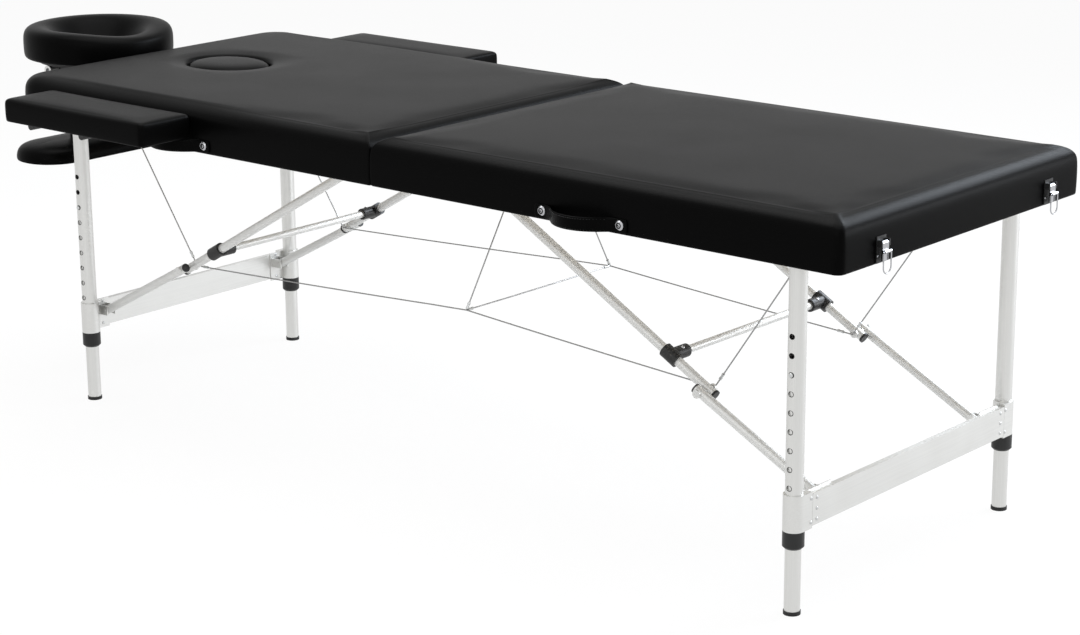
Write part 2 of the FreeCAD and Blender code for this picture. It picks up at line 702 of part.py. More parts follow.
def leg_foot(end_label, end, side_label, side):
    """The sliding part of one leg: inner tube, foot cap and snap button."""
    offset = leg_offset(end)
    x = f"{end} * leg_x"
    y = f"{side} * ({offset})"
    rest_hole = f"hole_top - {BUTTON_HOLE} * hole_pitch"
    tube = cut(
        upright("inner_tube", x, y, ("inner_low", "inner_top")),
        upright("inner_tube - inner_wall", x, y, ("inner_low", "inner_top")),
        across("hole_radius", x, span(side, offset, f"{offset} + inner_tube + overcut"), rest_hole),
    )
    subpart(f"inner_leg_{end_label}_{side_label}", tube)
    plug = upright("inner_tube - inner_wall - fit", x, y, ("0", "inner_low + cap_plug"))
    cap = fuse(upright("cap_radius", x, y, ("0", "inner_low")), plug)
    subpart(f"foot_cap_{end_label}_{side_label}", cap)
    stem_ys = span(side, f"{offset} + clip_out - clip_strip / 2", f"{offset} + button_reach")
    stem = across("button_radius", x, stem_ys, rest_hole)
    dome = rounded(stem, lambda edge: "button_dome" if at_tip(edge, side) else None)
    inward = span(side, f"{offset} + clip_out - clip_strip", f"{offset} + clip_out")
    clip = box(about(x, "button_radius"), inward, about(rest_hole, "clip_height / 2"))
    subpart(f"snap_button_{end_label}_{side_label}", fuse(dome, clip))


def at_tip(edge, side):
    """Whether an edge is the rim at the outward end of a button."""
    middle = edge.BoundBox.Center.y * side
    return edge.BoundBox.YLength < 0.01 and middle > value("leg_y") - value("leg_stagger") + value("leg_tube")


def strut_tube(end, y, place, lean, stretch, holes):
    """A tube along a strut's line between two distances from its pivot, with pin holes across it."""
    x, z = place
    low, high = stretch
    start = (f"{end} * ({x} + ({low}) * sin({lean}))", y, f"{z} + ({low}) * cos({lean})")
    length = f"({high}) - ({low})"
    return cut(
        leaning("strut", length, end, lean, start),
        leaning("strut - strut_wall", length, end, lean, start),
        *holes,
    )


def bolt(end, shank, head):
    """One strut's half of a knee bolt, with its head or nut."""
    x = f"{end} * knee_x"
    return fuse(across("knee_bolt", x, shank, "knee_z"), across("knee_bolt + bolt_rim", x, head, "knee_z"))


def upper_brace(label, end):
    """Both upper struts with the cross tube, tees, end plugs and their half of the knee bolts."""
    tubes = []
    fittings = []
    for side in SIDES.values():
        y = f"{side} * upper_y"
        holes = [
            across("clear_pin", f"{end} * upper_x", about(y, "strut + overcut"), "upper_z"),
            across("knee_bolt + fit", f"{end} * knee_x", about(y, "strut + overcut"), "knee_z"),
        ]
        stretch = ("-upper_head", "upper_reach + upper_tail")
        tubes.append(strut_tube(end, y, ("upper_x", "upper_z"), "upper_lean", stretch, holes))
        inner = "upper_y - strut"
        shank = span(side, f"{inner} - bolt_head / 2", "knee_split - knee_run")
        tubes.append(bolt(end, shank, span(side, f"{inner} - bolt_head", f"{inner} - fit")))
        fittings.append(tee(end, side))
        tip = (f"{end} * (knee_x + upper_tail * sin(upper_lean))", y, "knee_z + upper_tail * cos(upper_lean)")
        fittings.append(leaning("strut + plug_rim", "upper_plug", end, "upper_lean", tip))
    reach = "upper_y - tee_radius - tee_stop"
    tubes.append(across("brace_tube", f"{end} * tee_x", about("0", reach), "tee_z"))
    subpart(f"{label}_upper_struts", *tubes)
    subpart(f"{label}_tees", *fittings)


def tee(end, side):
    """Plastic tee: a sleeve on the strut and a socket for the cross tube."""
    y = f"{side} * upper_y"
    start = (
        f"{end} * (tee_x - tee_length / 2 * sin(upper_lean))", y, "tee_z - tee_length / 2 * cos(upper_lean)",
    )
    mouth = "upper_y - tee_radius - tee_socket"
    bottom = "upper_y - tee_radius - tee_stop"
    return cut(
        fuse(
            leaning("tee_radius", "tee_length", end, "upper_lean", start),
            across("brace_tube + tee_wall", f"{end} * tee_x", span(side, mouth, "upper_y"), "tee_z"),
        ),
        leaning("strut + fit", "tee_length", end, "upper_lean", start),
        across("brace_tube + fit", f"{end} * tee_x", span(side, mouth, bottom), "tee_z"),
    )


def lower_struts(label, end):
    """Both lower struts with their end plugs and their half of the knee bolts."""
    pieces = []
    for side in SIDES.values():
        y = f"{side} * lower_y"
        holes = [
            across("clear_pin", f"{end} * lower_x", about(y, "strut + overcut"), "lower_z"),
            across("knee_bolt + fit", f"{end} * knee_x", about(y, "strut + overcut"), "knee_z"),
        ]
        stretch = ("-lower_head", "lower_reach + lower_tail")
        pieces.append(strut_tube(end, y, ("lower_x", "lower_z"), "lower_lean", stretch, holes))
        outer = "lower_y + strut"
        shank = span(side, "knee_split + knee_run", f"{outer} + bolt_nut / 2")
        pieces.append(bolt(end, shank, span(side, f"{outer} + fit", f"{outer} + bolt_nut")))
        tip = (f"{end} * (knee_x + lower_tail * sin(lower_lean))", y, "knee_z + lower_tail * cos(lower_lean)")
        pieces.append(leaning("strut", "lower_plug", end, "lower_lean", tip))
    subpart(f"{label}_lower_struts", *pieces)


def cables(label, end):
    """Steel cables of one half: anchor to knee, knee to the middle, and the foot half's cross cables."""
    radius = value("cable")
    y = value("cable_y")
    knee = (end * value("knee_x"), value("knee_z"))
    anchor = (end * value("cable_top_x"), value("deck_low"))
    middle = (value("cable_x"), value("cable_z"))
    share = -knee[0] / (middle[0] - knee[0])
    seam = (0, knee[1] + share * (middle[1] - knee[1])) if end < 0 else middle
    lines = []
    for side in SIDES.values():
        lines.append([(anchor[0], side * y, anchor[1]), (knee[0], side * y, knee[1])])
        lines.append([(knee[0], side * y, knee[1]), (seam[0], side * y, seam[1])])
        if end > 0:
            hinge_side = -value("knee_x")
            rise = (middle[1] - knee[1]) / (middle[0] - hinge_side)
            lines.append([(middle[0], side * y, middle[1]), (0, side * y, middle[1] - rise * middle[0])])
            hanger = (value("upper_x"), side * value("cable_mid_y"), value("deck_low"))
            lines.append([(middle[0], side * y, middle[1]), hanger])
    if end > 0:
        lines.append([(middle[0], -y, middle[1]), (middle[0], y, middle[1])])
    rods = []
    for start, stop in lines:
        first, last = FreeCAD.Vector(*start), FreeCAD.Vector(*stop)
        rods.append(Part.makeCylinder(radius, (last - first).Length, first, last - first))
        rods.append(Part.makeSphere(radius, first))
    wire = document.addObject("Part::Feature", label.title() + "Cable")
    wire.Shape = rods[0].multiFuse(rods[1:])
    subpart(f"{label}_cables", wire)


def latches():
    """Draw latches on the foot end: bases with the lever's pin, levers and wire bails."""
    bases = []
    for side_label, side in SIDES.items():
        y = f"{side} * latch_y"
        face = "panel_length"
        heights = ("underside + latch_lift", "underside + latch_lift + latch_height")
        ear_step = "lever_width / 2 + latch_ear_gap + latch_ear / 2"
        base = box((face, f"{face} + plate"), about(y, "latch_width / 2"), heights)
        ears = [
            box(
                (face, "lever_x + latch_ear_out"), about(f"{y} + {sign} * ({ear_step})", "latch_ear / 2"),
                about("lever_z", "latch_ear_rim"),
            )
            for sign in (-1, 1)
        ]
        bases.append(fuse(base, across("latch_pin", "lever_x", about(y, ear_step), "lever_z"), *ears))
        eye = across("lever_eye", "lever_x", about(y, "lever_width / 2"), "lever_z")
        down = ("lever_z - lever_length", "lever_z")
        front = "lever_x + lever_face + lever_sheet"
        blade = box(("lever_x + lever_face", front), about(y, "lever_width / 2"), down)
        web = box(
            (f"{front} - barrel_lap", "bail_x"), about(y, "lever_width / 2"), about("bail_z", "barrel"),
        )
        curl = across("barrel", "bail_x", about(y, "lever_width / 2"), "bail_z")
        lever = cut(
            fuse(eye, blade, web, curl),
            across("latch_pin + pin_run", "lever_x", about(y, "lever_width"), "lever_z"),
            across("bail_wire + pin_run", "bail_x", about(y, "lever_width"), "bail_z"),
        )
        subpart(f"latch_lever_{side_label}", lever)
        half = "bail_width / 2"
        bend_z = f"bail_z - bail_length + {half}"
        wires = [
            upright("bail_side", "bail_x", f"{y} + {sign} * {half}", (bend_z, "bail_z"))
            for sign in (-1, 1)
        ]
        stem = across("bail_wire", "bail_x", about(y, f"{half} + bail_wire"), "bail_z")
        subpart(f"latch_bail_{side_label}", fuse(stem, bail_bend(y, half, bend_z), *wires))
    subpart("latch_bases", *bases)


def bail_bend(y, half, z):
    """The half round at the bottom of a bail."""
    bend = document.addObject("Part::Torus", "Bend")
    bend.Angle3 = 180
    bind(bend, Radius1=half, Radius2="bail_side")
    sideways = FreeCAD.Rotation(FreeCAD.Vector(0, 1, 0), 90)
    bend.Placement.Rotation = sideways * FreeCAD.Rotation(FreeCAD.Vector(0, 0, 1), -90)
    return put(bend, "bail_x", y, z)


def catch_hooks():
    """Hooks on the head end that the bails close over when the table is folded."""
    hooks = []
    for side in SIDES.values():
        y = f"{side} * latch_y"
        flat = span(-1, "panel_length", "panel_length + plate")
        heights = ("underside + hook_lift", "underside + hook_lift + hook_height")
        base = box(flat, about(y, "latch_width / 2"), heights)
        seat = "underside + hook_seat"
        out = span(-1, "panel_length", "panel_length + hook_reach")
        lip = box(out, about(y, "hook_width / 2"), (seat, f"{seat} + plate"))
        tip = span(-1, "panel_length + hook_reach - plate", "panel_length + hook_reach")
        tooth = box(tip, about(y, "hook_width / 2"), (seat, f"{seat} + hook_tooth"))
        hooks.append(fuse(base, lip, tooth))
    subpart("catch_hooks", *hooks)


def headrest():
    """Rods with their tilt bolts, the plate that tilts on them and the ring cushion."""
    rods = []
    for side in SIDES.values():
        y = f"{side} * rod_y"
        thick = about(y, "rod - eye_inset")
        outer = "rod_y + rod"
        shank = span(side, "rod_y - rod - bolt_in", f"{outer} + bolt_out")
        bar = fuse(
            along("rod", span(-1, "panel_length - rod_seat", "tilt_x + tilt_eye"), y, "rod_z"),
            box(about("-tilt_x", "tilt_eye"), thick, ("rod_z", "tilt_z")),
            across("tilt_eye", "-tilt_x", thick, "tilt_z"),
            across("tilt_bolt", "-tilt_x", shank, "tilt_z"),
            across("knob", "-tilt_x", span(side, outer, f"{outer} + knob_width"), "tilt_z"),
        )
        rods.append(bar)
    subpart("headrest_rods", *rods)
    ring = upright("rest_radius - plate_inset", "-rest_x", "0", ("rest_base - rest_plate", "rest_base"))
    lugs = [
        box(
            about("-tilt_x", "tilt_lug"),
            span(side, "rod_y - rod - tilt_lug_in", "rod_y - rod - tilt_lug_out"),
            ("tilt_z - tilt_lug_low", "rest_base - plate_lap"),
        )
        for side in SIDES.values()
    ]
    bore_reach = "rod + bolt_in + overcut"
    bores = [
        across("tilt_bolt + pin_run", "-tilt_x", about(f"{side} * rod_y", bore_reach), "tilt_z")
        for side in SIDES.values()
    ]
    opening = upright("rest_hole + plate_hole", "-rest_x", "0", ("rest_base - rest_plate", "rest_base"))
    subpart("headrest_plate", cut(fuse(ring, *lugs), opening, *bores))
    cushion = upright("rest_radius", "-rest_x", "0", ("rest_base", "rest_base + rest_height"))
    funnel = document.addObject("Part::Cone", "Funnel")
    bind(funnel, Radius1="rest_hole", Radius2="rest_mouth", Height="rest_height")
    put(funnel, "-rest_x", "0", "rest_base")
    subpart("headrest_cushion", rounded(cut(cushion, funnel), ring_round))


def ring_round(edge):
    """The size that rounds an edge of the headrest ring, if any."""
    wide = edge.BoundBox.XLength
    if edge.BoundBox.ZLength > 0.01:
        return None
    outer = wide > 1.9 * value("rest_radius")
    upper = edge.BoundBox.ZMin > value("rest_base") + 1
    if outer:
        return "ring_top" if upper else "ring_low"
    return "ring_mouth" if upper else None


def arm_shelf():
    """Padded shelf hung on two webbing straps from the headrest rods."""
    pad = slab(
        "Shelf", span(-1, "shelf_near", "shelf_near + shelf_depth"), about("0", "shelf_width / 2"),
        ("shelf_low", "shelf_low + shelf_height"), standing, "shelf_corner", "shelf_round", "shelf_low_round",
    )
    subpart("arm_shelf_pad", pad)
    straps = []
    for side in SIDES.values():
        y = f"{side} * rod_y"
        low = "shelf_low + shelf_height"
        wide = about("-strap_x", "strap_width / 2")
        straps.append(cut(
            box(wide, about(y, "rod + run + strap"), (low, "rod_z + rod + run + strap")),
            box(wide, about(y, "rod + run"), (low, "rod_z + rod + run")),
        ))
    subpart("arm_shelf_straps", *straps)


def armrest(side_label, side):
    reach = ("half_width + arm_gap", "half_width + arm_gap + arm_width")
    pad = slab(
        "Armrest" + side_label.title(), span(-1, "arm_near", "arm_near + arm_length"), span(side, *reach),
        ("arm_low", "arm_low + arm_height"), standing, "arm_corner", "arm_round", "arm_low_round",
    )
    subpart(f"armrest_pad_{side_label}", pad)
    rods = [
        across("arm_rod", x, span(side, "half_width - arm_seat", f"{reach[1]} - arm_rod_end"), "arm_rod_z")
        for x in ARM_RODS
    ]
    rail = box(
        span(-1, "arm_near + arm_rod_inner - arm_rail_over",
             "arm_near + arm_length - arm_rod_outer + arm_rail_over"),
        span(side, f"{reach[0]} + arm_rail_in", f"{reach[1]} - arm_rail_out"),
        ("arm_low - arm_rail", "arm_low"),
    )
    subpart(f"armrest_bracket_{side_label}", fuse(rail, *rods))


def face_plug():
    """Loose plug with a domed top, which fills the face hole and rests on the deck's ledge."""
    crown = "top + plug_rise"
    length = "hole_length - 2 * plug_ease"
    width = "hole_width - 2 * plug_ease"
    dome = document.addObject("Part::Ellipsoid", "Dome")
    reaches = [f"({across_plug}) / 2 + plug_spread" for across_plug in (length, width)]
    bind(dome, Radius1="plug_dome", Radius2=reaches[0], Radius3=reaches[1])
    put(dome, "-hole_x", "0", f"{crown} - plug_dome")
    plug = document.addObject("Part::Common", "Plug")
    plug.Base = oval(length, width, "-hole_x", ("foam_low", crown))
    plug.Tool = dome
    subpart("face_plug", plug)


def panels():
    """Both halves. The head half has holes for the face, the headrest rods and the armrest rods."""
    def rod_holes():
        xs = span(-1, "outer_in - rail - overcut", "panel_length + overcut")
        return [along("rod + run", xs, f"{side} * rod_y", "rod_z") for side in SIDES.values()]

    def arm_holes(side):
        ys = span(side, "inside - rail - overcut", "half_width + overcut")
        return [across("arm_rod + run", x, ys, "arm_rod_z") for x in ARM_RODS]

    def face_hole():
        return oval("hole_length", "hole_width", "-hole_x", ("foam_low - overcut", "top + overcut"))

    ledge_hole = oval(
        "hole_length - 2 * hole_ledge", "hole_width - 2 * hole_ledge", "-hole_x",
        ("deck_low - overcut", "top"),
    )
    panel_cover("head", -1, [face_hole(), *rod_holes(), *arm_holes(-1), *arm_holes(1)])
    panel_foam("head", -1, [face_hole()])
    panel_deck("head", -1, [ledge_hole])
    panel_rails("head", -1, rod_holes(), {side: arm_holes(side) for side in SIDES.values()})
    panel_cover("foot", 1, [])
    panel_foam("foot", 1, [])
    panel_deck("foot", 1, [])
    panel_rails("foot", 1, [], {})


def write():
    """Checks every object, then writes each sub-part."""
    document.recompute()
    for thing in document.Objects:
        if {"Invalid", "Error"} & set(thing.State):
            raise RuntimeError(f"{thing.Name} is {thing.State}")
    for whole in subparts:
        if whole.Shape.isNull() or not whole.Shape.isValid() or not whole.Shape.Solids:
            raise RuntimeError(f"{whole.Label} has no valid solid")
    os.makedirs("parts", exist_ok=True)
    for whole in subparts:
        whole.Shape.exportStep(f"parts/{whole.Label}.step")


fill_sheets()
panels()
for name, sign in ENDS.items():
    panel_brackets(name, sign)
    handle(name, sign)
    hinge_leaves(name, sign)
    leg_frame(name, sign)
    upper_brace(name, sign)
    lower_struts(name, sign)
    cables(name, sign)
    for side_name, side_sign in SIDES.items():
        leg_foot(name, sign, side_name, side_sign)
latches()
catch_hooks()
headrest()
arm_shelf()
for side_name, side_sign in SIDES.items():
    armrest(side_name, side_sign)
face_plug()
write()
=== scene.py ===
"""Folding massage table: upholstery, straps, cables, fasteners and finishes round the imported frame."""
import math

import bmesh
import bpy
from mathutils import Matrix, Vector, noise


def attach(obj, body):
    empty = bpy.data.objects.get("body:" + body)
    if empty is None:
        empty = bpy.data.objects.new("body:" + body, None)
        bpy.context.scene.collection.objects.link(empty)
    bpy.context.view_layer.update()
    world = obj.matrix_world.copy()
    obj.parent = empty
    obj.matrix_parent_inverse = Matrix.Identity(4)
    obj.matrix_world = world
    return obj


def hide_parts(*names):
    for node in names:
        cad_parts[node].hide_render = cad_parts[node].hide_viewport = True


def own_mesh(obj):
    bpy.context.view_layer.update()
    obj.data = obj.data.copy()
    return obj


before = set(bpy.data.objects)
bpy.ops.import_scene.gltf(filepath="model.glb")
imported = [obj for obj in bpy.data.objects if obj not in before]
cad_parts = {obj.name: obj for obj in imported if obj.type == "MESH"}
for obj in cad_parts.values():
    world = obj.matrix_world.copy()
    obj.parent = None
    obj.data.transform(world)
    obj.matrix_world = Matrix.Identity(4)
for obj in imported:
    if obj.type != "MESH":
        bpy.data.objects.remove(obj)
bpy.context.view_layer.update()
SIDES = {"near": -1, "far": 1}
ENDS = {"head": -1, "foot": 1}
OUTWARD = {"near": (0.0, -1.0, 0.0), "far": (0.0, 1.0, 0.0)}
ALONG_X = (1.0, 0.0, 0.0)
ALONG_Y = (0.0, 1.0, 0.0)
UPWARD = (0.0, 0.0, 1.0)
DOWNWARD = (0.0, 0.0, -1.0)
HINGE_X = 0.143


# Shader groups and finishes

class Wiring:
    """Adds nodes to a tree and joins them by socket names."""

    def __init__(self, tree):
        self.tree = tree

    def add(self, kind, inputs=None, **settings):
        """A node with its settings, and with its inputs joined to sockets or set to values."""
        node = self.tree.nodes.new(kind)
        for label, setting in settings.items():
            setattr(node, label, setting)
        for label, source in (inputs or {}).items():
            socket = node.inputs[label]
            if isinstance(source, bpy.types.NodeSocket):
                self.tree.links.new(source, socket)
            else:
                socket.default_value = source
        return node

    def get(self, kind, inputs=None, **settings):
        """The first output of a new node."""
        return self.add(kind, inputs, **settings).outputs[0]

    def feed(self, node, **sources):
        """Joins sources to a node's sockets. An underscore in a name stands for a space."""
        for label, source in sources.items():
            self.tree.links.new(source, node.inputs[label.replace("_", " ")])

    def math(self, operation, first, second=0.0):
        return self.get("ShaderNodeMath", {0: first, 1: second}, operation=operation)

    def plus(self, first, second):
        return self.math("ADD", first, second)

    def minus(self, first, second):
        return self.math("SUBTRACT", first, second)

    def times(self, first, second):
        return self.math("MULTIPLY", first, second)

    def vector(self, operation, first, second):
        return self.get("ShaderNodeVectorMath", {0: first, 1: second}, operation=operation)

    def parts(self, vector):
        """The X, Y and Z of a vector."""
        return self.add("ShaderNodeSeparateXYZ", {0: vector}).outputs

    def whole(self, **parts):
        """A vector from its X, Y and Z."""
        return self.get("ShaderNodeCombineXYZ", parts)

    def ramp(self, source, low, high, to_low=0.0, to_high=1.0):
        return self.get("ShaderNodeMapRange", {
            "Value": source, "From Min": low, "From Max": high, "To Min": to_low, "To Max": to_high,
        })

    def mix(self, share, first, second):
        """A blend of two colours."""
        return self.add("ShaderNodeMix", {0: share, 6: first, 7: second}, data_type="RGBA").outputs[2]

    def noise(self, vector, scale, detail=2.0, roughness=0.5):
        return self.get("ShaderNodeTexNoise", {
            "Vector": vector, "Scale": scale, "Detail": detail, "Roughness": roughness,
        })

    def bump(self, height, strength, distance):
        return self.get("ShaderNodeBump", {"Height": height, "Strength": strength, "Distance": distance})

    def group(self, tree, **inputs):
        """The outputs of a shared group, placed here with its own values."""
        return self.add("ShaderNodeGroup", inputs, node_tree=tree).outputs


def new_group(name, inputs, outputs, kind="ShaderNodeTree", output_kind="Float"):
    """A node group with named inputs and outputs: its wiring, what comes in and the node that leads out."""
    tree = bpy.data.node_groups.new(name, kind)
    for way, sockets in (("INPUT", inputs), ("OUTPUT", dict.fromkeys(outputs, output_kind))):
        for label, socket_kind in sockets.items():
            tree.interface.new_socket(label, in_out=way, socket_type=f"NodeSocket{socket_kind}")
    entry = tree.nodes.new("NodeGroupInput")
    leave = tree.nodes.new("NodeGroupOutput")
    return Wiring(tree), entry.outputs, leave


def leather_grain_group():
    """Pebbled hide: small raised cells of uneven size with fine creases between them."""
    wire, entry, leave = new_group(
        "leather_grain", {"Vector": "Vector", "Cell": "Float"}, ("Height", "Crease", "Drift"),
    )
    place = entry["Vector"]
    warp = wire.add("ShaderNodeTexNoise", {"Vector": place, "Scale": 240.0, "Detail": 2.0}).outputs["Color"]
    moved = wire.vector("ADD", place, wire.vector("MULTIPLY", warp, (0.0022, 0.0022, 0.0022)))
    edge = wire.add(
        "ShaderNodeTexVoronoi", {"Vector": moved, "Scale": entry["Cell"]}, feature="DISTANCE_TO_EDGE",
    ).outputs["Distance"]
    pebble = wire.ramp(edge, 0.0, 0.28)
    height = wire.plus(wire.times(pebble, 0.8), wire.times(wire.noise(place, 2600.0), 0.2))
    wire.feed(leave, Height=height, Crease=wire.minus(1.0, pebble), Drift=wire.noise(place, 7.0, 3.0, 0.55))
    return wire.tree


def handling_group():
    """Faint smudges and dust from use, the same idea on every hard finish."""
    wire, entry, leave = new_group("handling", {"Vector": "Vector", "Scale": "Float"}, ("Smudge", "Scuff"))
    broad = wire.noise(entry["Vector"], entry["Scale"], 4.0, 0.6)
    fleck = wire.noise(entry["Vector"], 420.0, 3.0, 0.7)
    wire.feed(leave, Smudge=wire.ramp(broad, 0.38, 0.68), Scuff=wire.ramp(fleck, 0.62, 0.78))
    return wire.tree


def drawn_metal_group():
    """Fine draw lines along a tube or bar. Along stretches the pattern on each axis."""
    wire, entry, leave = new_group("drawn_metal", {"Vector": "Vector", "Along": "Vector"}, ("Line", "Tone"))
    scaled = wire.vector("MULTIPLY", entry["Vector"], entry["Along"])
    wire.feed(leave, Line=wire.noise(scaled, 1.0, 3.0, 0.6), Tone=wire.noise(entry["Vector"], 24.0))
    return wire.tree


def wood_grain_group():
    """Growth lines along one axis with pores. Along stretches the pattern on each axis."""
    wire, entry, leave = new_group("wood_grain", {"Vector": "Vector", "Along": "Vector"}, ("Grain", "Pore"))
    scaled = wire.vector("MULTIPLY", entry["Vector"], entry["Along"])
    rings = wire.noise(scaled, 1.6, 5.0, 0.62)
    pores = wire.noise(scaled, 16.0)
    wire.feed(leave, Grain=wire.ramp(rings, 0.3, 0.7), Pore=wire.ramp(pores, 0.58, 0.72))
    return wire.tree


LEATHER_GRAIN = leather_grain_group()
HANDLING = handling_group()
DRAWN_METAL = drawn_metal_group()
WOOD_GRAIN = wood_grain_group()


def begin(name, **constants):
    """An empty finish: its wiring, its Principled shader and its Object coordinates."""
    material = bpy.data.materials.new(name)
    material.use_nodes = True
    wire = Wiring(material.node_tree)
    shader = material.node_tree.nodes["Principled BSDF"]
    for label, setting in constants.items():
        shader.inputs[label.replace("_", " ")].default_value = setting
    return material, wire, shader, wire.add("ShaderNodeTexCoord").outputs["Object"]


def grey(level):
    return (level, level, level, 1.0)


def shade(tint, factor):
    """A colour made darker or lighter."""
    return tuple(min(1.0, factor * part) for part in tint[:3]) + (1.0,)


def leather_finish():
    """Smooth coated leather: fine pebbles, creases slightly rougher and darker, and faint marks of use. The
    darker creases are painted shade.
    """
    material, wire, shader, place = begin("black_leather", Specular_IOR_Level=0.028)
    grain = wire.group(LEATHER_GRAIN, Vector=place, Cell=760.0)
    worn = wire.group(HANDLING, Vector=place, Scale=5.0)
    base = wire.mix(grain["Drift"], grey(0.0011), grey(0.0016))
    polish = wire.ramp(worn["Smudge"], 0.0, 1.0, 0.325, 0.345)
    wire.feed(
        shader,
        # Base colour darker in the grain's creases: painted shade.
        Base_Color=wire.mix(wire.times(grain["Crease"], 0.5), base, grey(0.0006)),
        Roughness=wire.plus(polish, wire.times(grain["Crease"], 0.08)),
        Normal=wire.bump(grain["Height"], 0.16, 0.0002),
    )
    return material


def metal_surface(wire, place, tint, rough, along, relief, spread):
    """Draw lines and handling marks of satin or polished metal: its colour, roughness and normal."""
    drawn = wire.group(DRAWN_METAL, Vector=place, Along=along)
    worn = wire.group(HANDLING, Vector=place, Scale=9.0)
    colour = wire.mix(wire.ramp(drawn["Line"], 0.3, 0.7), shade(tint, 0.965), shade(tint, 1.03))
    polish = wire.ramp(drawn["Tone"], 0.3, 0.7, rough - spread, rough + spread)
    level = wire.plus(polish, wire.times(worn["Smudge"], 0.04))
    return colour, level, wire.bump(drawn["Line"], relief, 0.00005)


def metal_finish(name, tint, rough, along, relief=0.04, spread=0.03):
    """Bare or plated metal with draw lines."""
    material, wire, shader, place = begin(name, Metallic=1.0)
    colour, level, normal = metal_surface(wire, place, tint, rough, along, relief, spread)
    wire.feed(shader, Base_Color=colour, Roughness=level, Normal=normal)
    return material


ALUMINIUM_TINT = (0.66, 0.66, 0.645)
STRUT_ROUGHNESS = 0.44
STRUT_METALLIC = 0.45
STRUT_LINES = (4.0, 500.0, 500.0)
CROSS_TUBE_LINES = (500.0, 4.0, 500.0)
CROSS_TUBE_END = 0.190


def strut_finish(name, lean, way, plug_start):
    """Drawn tubes that lean the same way on both halves, with a tube across and a black plug in their ends.

    way is 1 where the plugged end is away from the middle hinge and -1 where it is towards it.
    """
    material, wire, shader, place = begin(name)
    parts = wire.parts(place)
    out = wire.math("ABSOLUTE", wire.minus(parts["X"], HINGE_X))
    sine = math.sin(math.radians(lean))
    cosine = math.cos(math.radians(lean))
    along = wire.minus(wire.times(out, cosine), wire.times(parts["Z"], sine))
    over = wire.plus(wire.times(out, sine), wire.times(parts["Z"], cosine))
    turned = wire.whole(X=along, Y=parts["Y"], Z=over)
    across = wire.math("LESS_THAN", wire.math("ABSOLUTE", parts["Y"]), CROSS_TUBE_END)
    lines = wire.add(
        "ShaderNodeMix", {0: across, 4: STRUT_LINES, 5: CROSS_TUBE_LINES}, data_type="VECTOR",
    ).outputs[1]
    colour, level, normal = metal_surface(wire, turned, ALUMINIUM_TINT, STRUT_ROUGHNESS, lines, 0.012, 0.03)
    plug = wire.math("GREATER_THAN", wire.times(along, way), way * plug_start)
    wire.feed(
        shader,
        Base_Color=wire.mix(plug, colour, grey(0.012)),
        Roughness=wire.plus(level, wire.times(plug, 0.1)),
        Metallic=wire.times(wire.minus(1.0, plug), STRUT_METALLIC),
        Normal=normal,
    )
    return material


def moulded_finish(name, level, rough, cell=900.0, relief=0.12):
    """Moulded black plastic or rubber: fine spark texture, a little dust and scuffing."""
    material, wire, shader, place = begin(name, Specular_IOR_Level=0.35)
    worn = wire.group(HANDLING, Vector=place, Scale=20.0)
    base = wire.mix(worn["Smudge"], grey(level), grey(level * 1.6))
    wire.feed(
        shader,
        Base_Color=wire.mix(wire.times(worn["Scuff"], 0.35), base, grey(level * 4.0)),
        Roughness=wire.ramp(worn["Smudge"], 0.0, 1.0, rough, rough + 0.12),
        Normal=wire.bump(wire.noise(place, cell, 2.0, 0.6), relief, 0.0002),
    )
    return material


def wood_finish(name, pale, dark, crosswise=None):
    """Clear-lacquered wood. Past crosswise from the middle, where that is given, the grain turns across."""
    material, wire, shader, place = begin(name, Specular_IOR_Level=0.4)
    grain = wire.group(WOOD_GRAIN, Vector=place, Along=(3.0, 46.0, 46.0))
    lines = grain["Grain"]
    pores = grain["Pore"]
    if crosswise is not None:
        turned = wire.group(WOOD_GRAIN, Vector=place, Along=(46.0, 3.0, 46.0))
        side = wire.math("GREATER_THAN", wire.math("ABSOLUTE", wire.parts(place)["Y"]), crosswise)
        lines = wire.get("ShaderNodeMix", {0: side, 2: turned["Grain"], 3: lines})
        pores = wire.get("ShaderNodeMix", {0: side, 2: turned["Pore"], 3: pores})
    wire.feed(
        shader,
        Base_Color=wire.mix(wire.times(pores, 0.4), wire.mix(lines, dark, pale), shade(dark, 0.45)),
        Roughness=wire.ramp(lines, 0.0, 1.0, 0.52, 0.42),
        Normal=wire.bump(lines, 0.15, 0.0003),
    )
    return material


def webbing_finish():
    """Woven strap: close ribs across it and a fine warp along it."""
    material, wire, shader, place = begin("black_webbing", Specular_IOR_Level=0.2)
    parts = wire.parts(place)
    rib = wire.math("SINE", wire.times(parts["Z"], 3600.0))
    warp = wire.math("SINE", wire.times(parts["X"], 5200.0))
    weave = wire.times(wire.plus(rib, 1.0), wire.plus(warp, 1.6))
    worn = wire.group(HANDLING, Vector=place, Scale=30.0)
    # Threads darker in the hollows of the weave and lighter on its crests: painted shade.
    thread = wire.mix(wire.ramp(weave, 0.0, 5.2), grey(0.004), grey(0.016))
    wire.feed(
        shader,
        Base_Color=wire.mix(wire.times(worn["Scuff"], 0.3), thread, grey(0.05)),
        Roughness=wire.ramp(weave, 0.0, 5.2, 0.8, 0.6),
        Normal=wire.bump(weave, 0.4, 0.0003),
    )
    return material


